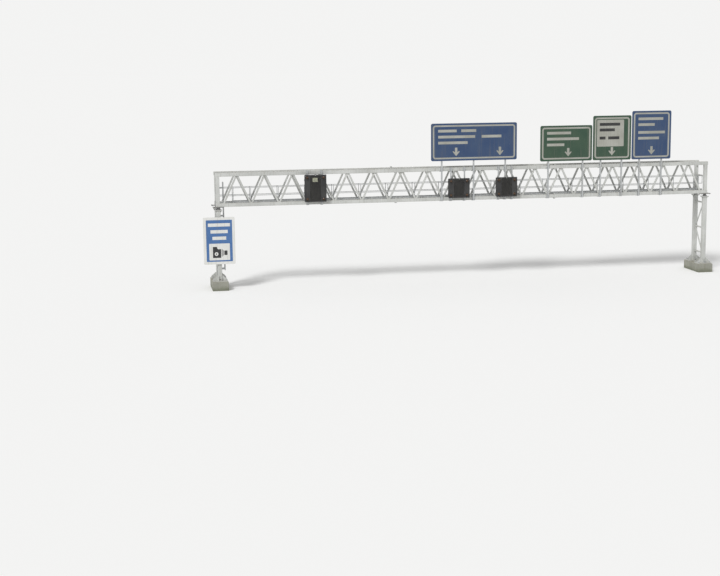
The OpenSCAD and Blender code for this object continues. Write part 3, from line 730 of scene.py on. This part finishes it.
def rods_at(name, places, width, length, sides, finish=galvanised):
    """Piece of round rods, each of which starts at its place."""
    return grown(name, rod_tree, marks(places), width=width, length=length, sides=sides, finish=finish)


rail_post = 0.040
post_plate = (0.088, 0.058, 0.008)
foot_bolt_reach = 0.033
sleeve_length = 0.085
sleeve_width = 0.056
toe_screw_rise = 0.095
rail_y = rails_high.y - rail_post / 2
middle_rail_z = (floor_low.z + rail_z) / 2
dress("galvanised_steel", galvanised, "walkway_handrails")
rail_ends = [((x, y, middle_rail_z), up)
             for x in (rails_low.x + rail_tube / 2, rails_high.x - rail_tube / 2) for y in (-rail_y, rail_y)]
post_feet, foot_bolts, sleeves, toe_screws = [], [], [], []
for x in (hatch_x, *bottom_nodes):
    for side in (-1, 1):
        y = side * rail_y
        post_feet.append(((x, y, floor_low.z + post_plate[2] / 2), up))
        for bolt_place in (x - foot_bolt_reach, x + foot_bolt_reach):
            foot_bolts.append(((bolt_place, y, floor_low.z + post_plate[2]), up))
        for z in (middle_rail_z, rail_z):
            sleeves.append(((x - sleeve_length / 2, y, z), x_axis))
        toe_screws.append(((x, y + side * rail_post / 2, floor_low.z + toe_screw_rise), y_axis * side))
uprights = rods_at("handrail_end_uprights", rail_ends, rail_tube, rail_z - middle_rail_z, sides=12)
feet = plates_at("handrail_feet", post_feet, post_plate)
clamps = rods_at("handrail_sleeves", sleeves, sleeve_width, sleeve_length, sides=16)
bolts = bolts_at("handrail_bolts", foot_bolts + toe_screws, shank=0.010, thread=0.006, seed=6)
for piece in (uprights, feet, clamps, bolts):
    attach(piece, "root")


# Ladder.
# A galvanised ladder of two flat stiles and round rungs, fixed inside the left leg. Each pair of cleats
# ends in pads bolted to a tie or strut of the steelwork, and two bolts hold each stile to its cleat.
ladder_low, ladder_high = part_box("access_ladder")
ties_low, ties_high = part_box("left_leg_bracing")
lowest_tie = ties_low.z + strut_half
highest_tie = ties_high.z - strut_half
cleat_pad = (0.008, 0.090, 0.072)
pad_reach = 0.030
pad_bolt_reach = 0.045
stile_middle = 0.035
stile_bolt_step = 0.018
stile_x = ladder_high.x - stile_middle
dress("galvanised_steel", galvanised, "access_ladder")
pad_places, ladder_bolts = [], []
for z in (lowest_tie, (lowest_tie + highest_tie) / 2, highest_tie, bottom_z, rail_z):
    for side in (-1, 1):
        pad_places.append(((ladder_low.x + cleat_pad[0] / 2, side * (ladder_high.y + pad_reach), z), up))
        pad_bolt_y = side * (ladder_high.y + pad_bolt_reach)
        ladder_bolts.append(((ladder_low.x + cleat_pad[0], pad_bolt_y, z), x_axis))
        for step in (-stile_bolt_step, stile_bolt_step):
            ladder_bolts.append(((stile_x + step, side * ladder_high.y, z + step), y_axis * side))
pads = plates_at("ladder_pads", pad_places, cleat_pad)
bolts = bolts_at("ladder_bolts", ladder_bolts, shank=0.012, thread=0.008, seed=7)
for piece in (pads, bolts):
    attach(piece, "root")


# Cable trunking and tray.
# A closed galvanised duct runs up the outside of the left leg, with straps over its lid, and an open tray
# takes the cables on along the back handrail. Its lengths are joined by bolted plates.
trunk_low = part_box("cable_trunking")[0]
tray_low, tray_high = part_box("cable_tray")
duct_half = 0.045
strap_lap = 0.005
strap = (0.006, 2 * (duct_half + strap_lap), 0.040)
strap_pitch = 0.900
strap_count = 5
strap_screw_inset = 0.012
strap_screw_y = duct_half - strap_screw_inset
coupler = (0.220, 0.003, 0.044)
coupler_pitch = 3.0
coupler_bolt_steps = (-0.080, -0.035, 0.035, 0.080)
dress("galvanised_steel", galvanised, "cable_trunking", "cable_tray")
strap_places, strap_screws, coupler_places, coupler_bolts = [], [], [], []
for i in range(strap_count):
    z = trunk_low.z + (i + 1) * strap_pitch
    strap_places.append(((trunk_low.x, 0, z), up))
    for y in (-strap_screw_y, strap_screw_y):
        strap_screws.append(((trunk_low.x - strap[0] / 2, y, z), -x_axis))
tray_z = (tray_low.z + tray_high.z) / 2
for i in range(int((tray_high.x - tray_low.x) / coupler_pitch)):
    x = tray_low.x + (i + 1) * coupler_pitch
    coupler_places.append(((x, tray_high.y + coupler[1] / 2, tray_z), up))
    for step in coupler_bolt_steps:
        coupler_bolts.append(((x + step, tray_high.y + coupler[1], tray_z), y_axis))
straps = plates_at("trunking_straps", strap_places, strap)
couplers = plates_at("tray_couplers", coupler_places, coupler)
bolts = bolts_at("cable_bolts", strap_screws + coupler_bolts, shank=0.008, thread=0.003, seed=8)
for piece in (straps, couplers, bolts):
    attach(piece, "root")


# Sign on the left leg.
# An aluminium panel on rails that are banded to the front column, faced with blue reflective film. It has a
# white rim, three lines of legend as plain bars, and a white square with a plain folding camera.
film_grime = (0.16, 0.15, 0.12)
dark_metal = (0.40, 0.41, 0.41)
pale_metal = (0.53, 0.54, 0.54)
metal_grime = (0.30, 0.30, 0.28)
metal_bloom = (0.62, 0.62, 0.60)


def sheeting(name, tone, worn):
    """Reflective sheeting on a panel's front face, in its tone and its worn tone, with bare metal behind."""
    finish, place, shader = new_finish(name, 0.38)
    front = from_to(along(place["Normal"], "Y"), -0.5, -0.9)
    honeycomb = from_to(cells(place, 180, feature="DISTANCE_TO_EDGE"), 0.0, 0.12, 1.0, 0.0)
    film = layered(
        tone,
        (worn, patches(place, 0.9, 0.35, 0.75)),
        (worn, honeycomb, 0.35),
        (film_grime, streaks(place, 14, 0.6, 0.54, 0.80), 0.35))
    bare = layered(
        dark_metal,
        (pale_metal, patches(place, 1.6, 0.32, 0.68)),
        (metal_grime, streaks(place, 12, 0.5, 0.50, 0.76), 0.55),
        (metal_bloom, patches(place, 14, 0.56, 0.76), 0.4))
    feed(shader, "Base Color", blend(front, bare, film))
    feed(shader, "Metallic", from_to(front, 0.0, 1.0, 0.7, 0.0))
    relief(shader, (patches(place, 0.7, 0.2, 0.8), 0.004), (patches(place, 60, 0.2, 0.8), 0.0002))
    return finish


def rectangle(x0, z0, x1, z1, radius=0.0, steps=12):
    """Outline of a rectangle, with round corners if it has a radius."""
    if not radius:
        return [(x0, z0), (x1, z0), (x1, z1), (x0, z1)]
    right, left, top, bottom = x1 - radius, x0 + radius, z1 - radius, z0 + radius
    outline = []
    for quarter, (x, z) in enumerate(((right, top), (left, top), (left, bottom), (right, bottom))):
        for i in range(steps + 1):
            turn = (quarter + i / steps) * pi / 2
            outline.append((x + radius * cos(turn), z + radius * sin(turn)))
    return outline


def inset(low, high, margin, radius):
    """Outline of a panel's face with a margin taken off each side."""
    return rectangle(low.x + margin, low.z + margin, high.x - margin, high.z - margin, radius)


def circle(x, z, radius, steps=32):
    """Outline of a circle."""
    turns = [i / steps * 2 * pi for i in range(steps)]
    return [(x + radius * cos(turn), z + radius * sin(turn)) for turn in turns]


def cut_film(shape, outline, back_y):
    """Adds a sheet of film, cut to an outline of (x, z) points, in front of a face at back_y."""
    back = [shape.verts.new((x, back_y, z)) for x, z in outline]
    front = [shape.verts.new((x, back_y - film_depth, z)) for x, z in outline]
    shape.faces.new(back)
    shape.faces.new(reversed(front))
    for i in range(len(outline)):
        shape.faces.new((back[i - 1], front[i - 1], front[i], back[i]))


def closed_ring(shape, loops):
    """Adds the walls between loops of points, each joined to the next and the last to the first."""
    walls = [[shape.verts.new(point) for point in loop] for loop in loops]
    for wall, following in zip(walls, walls[1:] + walls[:1]):
        for i in range(len(wall)):
            shape.faces.new((wall[i - 1], wall[i], following[i], following[i - 1]))


def film_ring(shape, outer, inner, back_y):
    """Adds a ring of film between two outlines that have the same number of points."""
    front_y = back_y - film_depth
    closed_ring(shape, [[(x, y, z) for x, z in outline] for outline, y in
                        ((outer, back_y), (inner, back_y), (inner, front_y), (outer, front_y))])


def finished(name, shape, finish):
    """Piece made from what was added to a shape, with its faces turned outwards."""
    bmesh.ops.recalc_face_normals(shape, faces=shape.faces)
    mesh = bpy.data.meshes.new(name)
    shape.to_mesh(mesh)
    shape.free()
    return new_piece(name, mesh, finish)


film_depth = 0.0015
blue_sheeting = sheeting("blue_sheeting", (0.050, 0.140, 0.350), (0.080, 0.180, 0.400))
white_sheeting = sheeting("white_sheeting", (0.78, 0.78, 0.76), (0.70, 0.70, 0.66))
new_black = (0.018, 0.018, 0.020)
worn_black = (0.050, 0.050, 0.048)
black_film, place, shader = new_finish("black_film", 0.45)
feed(shader, "Base Color", layered(new_black, (worn_black, patches(place, 3, 0.4, 0.8))))
dress("blue_sign_face", blue_sheeting, "verge_sign_panel")
dress("galvanised_steel", galvanised, "verge_sign_rails")

verge_low, verge_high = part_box("verge_sign_panel")
verge_corner = 0.080
rim_width = 0.190
rim_corner = 0.040
verge_legend = ((0.42, 1.54), (0.89, 1.20), (1.35, 0.96))
legend_tall = 0.230
square_width = 1.44
square_tall = 1.17
square_corner = 0.040
square_drop = 1.84
square_top = verge_high.z - square_drop
face_y = verge_low.y
shape = bmesh.new()
outer = inset(verge_low, verge_high, 0.0, verge_corner)
film_ring(shape, outer, inset(verge_low, verge_high, rim_width, rim_corner), face_y)
for from_top, width in verge_legend:
    top = verge_high.z - from_top
    cut_film(shape, rectangle(left_x - width / 2, top - legend_tall, left_x + width / 2, top), face_y)
cut_film(shape, rectangle(left_x - square_width / 2, square_top - square_tall,
                          left_x + square_width / 2, square_top, square_corner), face_y)
legend = finished("verge_sign_legend", shape, white_sheeting)

camera_body = ((-0.47, -0.42), (0.10, -0.42), (0.10, 0.19), (-0.12, 0.19), (-0.20, 0.36), (-0.47, 0.36))
camera_pleats = ((0.145, 0.27), (0.210, 0.22), (0.275, 0.17))
pleat_width = 0.035
pleat_middle = -0.07
camera_lens = rectangle(0.335, -0.23, 0.545, 0.09, 0.04)
reel_x = -0.22
reel_z = -0.145
reel_radii = (0.130, 0.050)
icon_z = square_top - square_tall / 2
icon_y = face_y - film_depth
shape = bmesh.new()
pleats = [rectangle(x, pleat_middle - half_tall, x + pleat_width, pleat_middle + half_tall)
          for x, half_tall in camera_pleats]
for outline in (camera_body, *pleats, camera_lens):
    cut_film(shape, [(left_x + x, icon_z + z) for x, z in outline], icon_y)
icon = finished("verge_sign_pictogram", shape, black_film)
shape = bmesh.new()
outer, inner = (circle(left_x + reel_x, icon_z + reel_z, radius) for radius in reel_radii)
film_ring(shape, outer, inner, icon_y - film_depth)
reel = finished("verge_sign_pictogram_ring", shape, white_sheeting)
for piece, slot in ((legend, "sign_white"), (icon, "signal_black"), (reel, "sign_white")):
    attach(piece, "root")

lowest_rail, highest_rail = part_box("verge_sign_rails")
band_tall = 0.050
band_thick = 0.006
band_ear = 0.030
rail_tall = 0.070
rail_gaps = 4
rail_rise = (highest_rail.z - lowest_rail.z - rail_tall) / rail_gaps
column_half = column_side / 2
shape, band_bolts = bmesh.new(), []
for i in range(rail_gaps + 1):
    middle = Vector((left_x, -truss_y, lowest_rail.z + rail_tall / 2 + i * rail_rise))
    outside, inside = (tube_ring(middle, x_axis, y_axis, half, half, column_corner)
                       for half in (column_half + band_thick, column_half))
    closed_ring(shape, [[point + up * rise for point in ring] for ring, rise in
                        ((outside, -band_tall / 2), (inside, -band_tall / 2),
                         (inside, band_tall / 2), (outside, band_tall / 2))])
    for side in (-1, 1):
        band_bolts.append(((left_x + side * (column_half + band_ear), highest_rail.y, middle.z), y_axis))
bands = finished("verge_sign_bands", shape, galvanised)
bolts = bolts_at("verge_sign_bolts", band_bolts, shank=0.014, thread=0.020, seed=9)
for piece in (bands, bolts):
    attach(piece, "root")


# Direction signs.
# Four aluminium panels in upright strips, two faced with blue sheeting and two with green, all darkened
# with painted shade. Each has a border, its legend as plain bars, and one or two plain down arrows.
def down_arrow(x, tip_z):
    """Outline of an arrow that points straight down, with barbs cut off square."""
    half = arrow_wide / 2
    shaft = arrow_wide * shaft_share
    head = tip_z + arrow_tall * head_share
    notch = tip_z + arrow_tall * notch_share
    right = [(half, head), (half - barb, head + barb), (shaft, notch + barb), (shaft, tip_z + arrow_tall)]
    return [(x, tip_z)] + [(x + dx, z) for dx, z in right] + [(x - dx, z) for dx, z in reversed(right)]


def legend_bars(shape, low, high, lines, tall, back_y):
    """Adds bars of film to a panel, from (distance from its left, distance from its top, width) lines."""
    for from_left, from_top, width in lines:
        left, top = low.x + from_left, high.z - from_top
        cut_film(shape, rectangle(left, top - tall, left + width, top), back_y)


# The direction signs wear darker copies of the blue, green and white sheeting: painted shade.
shaded_blue_sheeting = sheeting("shaded_blue_sheeting", (0.020, 0.052, 0.135), (0.040, 0.074, 0.150))
shaded_green_sheeting = sheeting("shaded_green_sheeting", (0.022, 0.062, 0.036), (0.042, 0.082, 0.048))
shaded_white_film = sheeting("shaded_white_sheeting", (0.42, 0.42, 0.38), (0.30, 0.30, 0.26))
dress("blue_sign_face", shaded_blue_sheeting, "direction_sign_1_panel", "direction_sign_4_panel")
dress("green_sign_face", shaded_green_sheeting, "direction_sign_2_panel", "direction_sign_3_panel")

border_inset = 0.130
border_width = 0.110
border_radius = 0.200
arrow_tall = 0.600
arrow_wide = 0.520
arrow_rise = 0.330
shaft_share = 0.17
head_share = 0.52
notch_share = 0.36
barb = 0.05
line_tall = 0.190
sign_lines = (
    ((0.52, 0.44, 1.35), (2.20, 0.44, 1.10), (0.52, 0.86, 2.70), (3.70, 0.86, 1.45), (0.52, 1.28, 2.15)),
    ((0.50, 0.44, 1.80), (0.50, 0.86, 2.40), (0.50, 1.28, 1.30)),
    (),
    ((0.48, 0.48, 1.90), (0.48, 0.90, 1.25), (0.48, 1.46, 2.05), (0.48, 1.88, 1.60)))
sign_arrows = ((1.83, 5.05), (2.10,), (1.45,), (1.52,))
sign_boxes = [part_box(f"direction_sign_{i}_panel") for i in (1, 2, 3, 4)]
shape = bmesh.new()
for (low, high), lines, arrows in zip(sign_boxes, sign_lines, sign_arrows):
    outer = inset(low, high, border_inset, border_radius)
    inner = inset(low, high, border_inset + border_width, border_radius - border_width)
    film_ring(shape, outer, inner, low.y)
    legend_bars(shape, low, high, lines, line_tall, low.y)
    for x in arrows:
        cut_film(shape, down_arrow(low.x + x, low.z + arrow_rise), low.y)
legend = finished("direction_sign_legends", shape, shaded_white_film)

patch_inset = 0.30
patch_right = 2.34
patch_foot = 2.22
patch_corner = 0.06
patch_lines = ((0.50, 0.52, 1.55), (0.50, 0.92, 1.15), (0.50, 1.50, 0.45), (1.15, 1.50, 0.85))
patch_line_tall = 0.21
low, high = sign_boxes[2]
shape = bmesh.new()
cut_film(shape, rectangle(low.x + patch_inset, high.z - patch_foot,
                          low.x + patch_right, high.z - patch_inset, patch_corner), low.y)
patch = finished("direction_sign_3_inset", shape, shaded_white_film)
shape = bmesh.new()
legend_bars(shape, low, high, patch_lines, patch_line_tall, low.y - film_depth)
patch_legend = finished("direction_sign_3_inset_legend", shape, black_film)
for piece, slot in ((legend, "sign_white"), (patch, "sign_white"), (patch_legend, "signal_black")):
    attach(piece, "root")


# Sign frames and hangers.
# Galvanised posts stand in front of the truss, clamped to both chords by bolts that pass over and under
# the chord to clips behind it. Rails bolted to the posts carry the panels, and shorter hangers the signals.
def spread(first, last, pitch):
    """Even places from first to last, no further apart than pitch."""
    count = ceil((last - first) / pitch - 1e-6)
    return [first + i * (last - first) / count for i in range(count + 1)]


frames = [f"direction_sign_{i}_frame" for i in (1, 2, 3, 4)]
hangers = [f"signal_{i}_hangers" for i in (1, 2, 3)]
dress("galvanised_steel", galvanised, *frames, *hangers)
post_side = 0.100
post_pitch = 2.700
post_insets = (0.810, 0.650, 0.650, 0.650)
post_drop = 0.080
post_cap = (0.108, 0.108, 0.008)
hanger_side = 0.080
rail_pitch = 0.800
rail_inset = 0.180
rail_wall = 0.004
rail_bolt_gap = 0.028
rail_bolt_reach = post_side / 2 + rail_bolt_gap
clamp_plate = 0.012
clamp_ear = 0.025
clamp_rod = 0.018
clip = (0.055, 0.012, 0.075)
clip_overhang = 0.012
rod_gap = 0.015
rod_rise = chord_half + rod_gap
rod_length = clamp_plate + chord_side + clip[1]
hanger_inset = 2 * clamp_ear + hanger_side / 2
clamp_y = -truss_y - chord_half - clamp_plate
post_front_y = clamp_y - post_side
clamped, rail_bolts, cap_places = [], [], []
for (low, high), post_inset in zip(sign_boxes, post_insets):
    levels = spread(low.z + rail_inset, high.z - rail_inset, rail_pitch)
    for x in spread(low.x + post_inset, high.x - post_inset, post_pitch):
        clamped.append((x, post_side / 2 + clamp_ear))
        cap_places.append(((x, clamp_y - post_side / 2, high.z - post_drop), up))
        for z in levels:
            for bolt_place in (x - rail_bolt_reach, x + rail_bolt_reach):
                rail_bolts.append(((bolt_place, post_front_y + rail_wall, z), y_axis))
for hanger in hangers:
    low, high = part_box(hanger)
    for x in (low.x + hanger_inset, high.x - hanger_inset):
        clamped.append((x, hanger_side / 2 + clamp_ear))
rod_places, clip_places, clamp_nuts = [], [], []
for middle_x, reach in clamped:
    for chord_z in (bottom_z, top_z):
        for side in (-1, 1):
            z = chord_z + side * rod_rise
            for x in (middle_x - reach, middle_x + reach):
                rod_places.append(((x, clamp_y, z), y_axis))
                clip_places.append(((x, clip[1] / 2 - chord_inner_y, z - side * clip_overhang), up))
                clamp_nuts += [((x, clamp_y, z), -y_axis), ((x, clip[1] - chord_inner_y, z), y_axis)]
rods = rods_at("clamp_rods", rod_places, clamp_rod, rod_length, sides=10, finish=zinc)
clips = plates_at("clamp_clips", clip_places, clip)
nuts = bolts_at("clamp_nuts", clamp_nuts, shank=clamp_rod, thread=0.022, seed=10)
bolts = bolts_at("sign_rail_bolts", rail_bolts, shank=0.014, thread=0.010, seed=11)
caps = plates_at("sign_post_caps", cap_places, post_cap)
for piece in (rods, clips, nuts, bolts, caps):
    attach(piece, "root")


# Signals.
# Matt black aluminium housings behind wide backing boards, with louvred vents, a back cover on hinges and
# latches, and cable glands below. Each has its display, amber lenses in four hoods and a light sensor.
board_black = (0.020, 0.020, 0.021)
faded_black = (0.040, 0.040, 0.039)
top_dust = (0.16, 0.15, 0.12)
black_grime = (0.085, 0.08, 0.07)
signal_paint, place, shader = new_finish("matt_black_powder_coat", 0.62)
black = layered(
    board_black,
    (faded_black, patches(place, 1.3, 0.35, 0.7)),
    (top_dust, facing_up(place, 0.5, 0.9), 0.7),
    (black_grime, streaks(place, 13, 0.6, 0.52, 0.78), 0.5))
feed(shader, "Base Color", black)
feed(shader, "Roughness", from_to(patches(place, 8, 0.3, 0.7), 0.0, 1.0, 0.5, 0.75))
relief(shader, (patches(place, 160, 0.2, 0.8), 0.0004))
housings = [f"signal_{i}_housing" for i in (1, 2, 3)]
dress("signal_black", signal_paint, *housings)

lens_rib = 0.005
lens_groove = 0.002
dark_amber = (0.045, 0.019, 0.005)
pale_amber = (0.072, 0.031, 0.008)
lens_plastic, place, shader = new_finish("smoked_amber_lens", 0.12)
shader.inputs["Coat Weight"].default_value = 0.3
feed(shader, "Base Color", layered(dark_amber, (pale_amber, patches(place, 9, 0.30, 0.70))))
relief(shader, (joints(along(place["Object"], "X"), lens_rib, lens_groove), 0.0004))


def pixel_finish(name, roughness, dark, pale):
    """Plastic of the display's pixels, uneven between a dark and a pale tone."""
    finish, place, shader = new_finish(name, roughness)
    feed(shader, "Base Color", layered(dark, (pale, patches(place, 30, 0.35, 0.65))))
    return finish


pixel_plastic = pixel_finish("unlit_pixels", 0.30, (0.050, 0.048, 0.044), (0.085, 0.082, 0.075))
# Pale plastic for pixels that stand for lit ones: a painted glow, with no light given.
lit_pixel_paint = pixel_finish("painted_lit_pixels", 0.35, (0.66, 0.68, 0.50), (0.78, 0.79, 0.62))

pixel_tree, given = new_tree("display_pixels", across="Float", tall="Float", columns="Int", rows="Int",
                             pixel="Float")
grid = result(pixel_tree, "GeometryNodeMeshGrid",
              {"Size X": given["across"], "Size Y": given["tall"],
               "Vertices X": given["columns"], "Vertices Y": given["rows"]})
radius = times(given["pixel"], 0.5)
pixel = result(pixel_tree, "GeometryNodeMeshUVSphere", {"Segments": 8, "Rings": 6, "Radius": radius})
field = copied(moved(grid, Rotation=(pi / 2, 0, 0)), pixel)
close_tree(copied(given["Geometry"], field), given["finish"], smooth=True)

lens_tree, given = new_tree("lantern_lens", width="Float", bulge="Float")
radius = times(given["width"], 0.5)
flatness = sum_of("DIVIDE", given["bulge"], radius)
dome = result(lens_tree, "GeometryNodeMeshUVSphere", {"Segments": 28, "Rings": 14, "Radius": radius})
dome = moved(dome, Scale=vector_of(lens_tree, 1.0, 1.0, flatness))
close_tree(copied(given["Geometry"], dome, leaning(lens_tree)), given["finish"], smooth=True)

louvre_tilt = radians(35)
vent_tree, given = new_tree("louvre_bank", length="Float", tall="Float", out="Float", pitch="Float",
                            count="Int")
louvre = moved(block(vent_tree, given["out"], given["length"], given["tall"]), Rotation=(0, louvre_tilt, 0))
stack = result(vent_tree, "GeometryNodeMeshLine",
               {"Count": given["count"], "Offset": vector_of(vent_tree, z=given["pitch"])})
outward = leaning(vent_tree, "X", "Z")
close_tree(copied(given["Geometry"], copied(stack, louvre), outward), given["finish"])

board_margin = 0.090
lantern_step = 0.196
lantern_width = 0.190
lantern_bulge = 0.028
sensor_width = 0.055
sensor_bulge = 0.030
hood_length = 0.106
window_depth = 0.018
pixel_pitch = 0.036
pixel_width = 0.021
visor_thick = 0.0016
pale_columns = 10
pale_rows = 8
pale_from_top = 3
pale_width = 0.0355
housing_back = 0.300
board_overhang = 0.040
gland_x = 0.25
vent_margin = 0.16
vent_pitch = 0.026
vent_count = 9
cover_fixing_heights = (0.2, 0.5, 0.8)
hinge_length = 0.120
hinge_width = 0.022
hinge_inset = 0.020
latch = (0.010, 0.045, 0.080)
latch_inset = 0.030


def pixels_at(name, middle, columns, rows, width, finish):
    """Piece of pixels in columns and rows about a middle."""
    return grown(name, pixel_tree, marks([(middle, up)]), pixel=width, columns=columns, rows=rows,
                 across=(columns - 1) * pixel_pitch, tall=(rows - 1) * pixel_pitch, finish=finish)


displays, visor_banks = [], []
lens_places, sensor_places, vent_places = [], [], []
gland_places, hinge_places, latch_places = [], [], []
for housing in housings:
    low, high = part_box(housing)
    name = housing.replace("housing", "display")
    middle = (low + high) / 2
    body_y = high.y - housing_back / 2
    board_front = low.y + hood_length
    window_half = (high.x - low.x) / 2 - 2 * lantern_step
    window_middle = Vector((middle.x, board_front + window_depth, middle.z))
    pixel_columns = int(2 * window_half / pixel_pitch)
    pixel_rows = int((high.z - low.z - 2 * board_margin) / pixel_pitch)
    displays.append(pixels_at(name, window_middle, pixel_columns, pixel_rows, pixel_width, pixel_plastic))
    visors = [(window_middle + Vector((0, -window_depth / 2, (i - pixel_rows / 2) * pixel_pitch)), up)
              for i in range(pixel_rows + 1)]
    visor_size = (2 * window_half, window_depth, visor_thick)
    visor_banks.append(plates_at(name + "_visors", visors, visor_size, signal_paint))
    if housing == housings[0]:
        # Only the first display has a pale block, near its top and on whole columns of pixels.
        # Its pale plastic is a painted glow of lit pixels.
        first_column = (pixel_columns - pale_columns) // 2
        pale_x = (first_column + (pale_columns - pixel_columns) / 2) * pixel_pitch
        pale_z = ((pixel_rows - pale_rows) / 2 - pale_from_top) * pixel_pitch
        pale_middle = window_middle + Vector((pale_x, 0, pale_z))
        displays.append(pixels_at(name + "_painted_lit_pixels", pale_middle, pale_columns, pale_rows, pale_width,
                                  lit_pixel_paint))
    for x in (low.x + lantern_step, high.x - lantern_step):
        for z in (low.z + lantern_step, high.z - lantern_step):
            lens_places.append(((x, board_front, z), -y_axis))
    sensor_places.append(((middle.x, board_front, high.z - board_margin / 2), -y_axis))
    for side, wall_x in ((-1, low.x + board_overhang), (1, high.x - board_overhang)):
        gland_places.append(((middle.x + side * gland_x, body_y, low.z + board_overhang), -up))
        for z in (low.z + vent_margin, high.z - vent_margin - vent_count * vent_pitch):
            vent_places.append(((wall_x, body_y, z), x_axis * side))
        for share in cover_fixing_heights:
            z = low.z + share * (high.z - low.z)
            if side < 0:
                hinge_foot = z - hinge_length / 2
                hinge_places.append(((wall_x - hinge_width / 2, high.y - hinge_inset, hinge_foot), up))
            else:
                latch_places.append(((wall_x + latch[0] / 2, high.y - latch_inset, z), up))
lenses = grown("lantern_lenses", lens_tree, marks(lens_places), width=lantern_width,
               bulge=lantern_bulge, finish=lens_plastic)
sensors = grown("signal_light_sensors", lens_tree, marks(sensor_places), width=sensor_width,
                bulge=sensor_bulge, finish=white_sheeting)
vents = grown("signal_vents", vent_tree, marks(vent_places), length=0.200, tall=0.003, out=0.024,
              pitch=vent_pitch, count=vent_count, finish=signal_paint)
hinges = rods_at("signal_hinges", hinge_places, hinge_width, hinge_length, sides=12, finish=signal_paint)
latches = plates_at("signal_latches", latch_places, latch)
glands = bolts_at("signal_cable_glands", gland_places, shank=0.030, thread=0.030, seed=12)
for slot, pieces in (("signal_lens", (*displays, lenses)), ("signal_black", (*visor_banks, vents, hinges)),
                     ("sign_white", (sensors,)), ("galvanised_steel", (latches, glands))):
    for piece in pieces:
        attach(piece, "root")
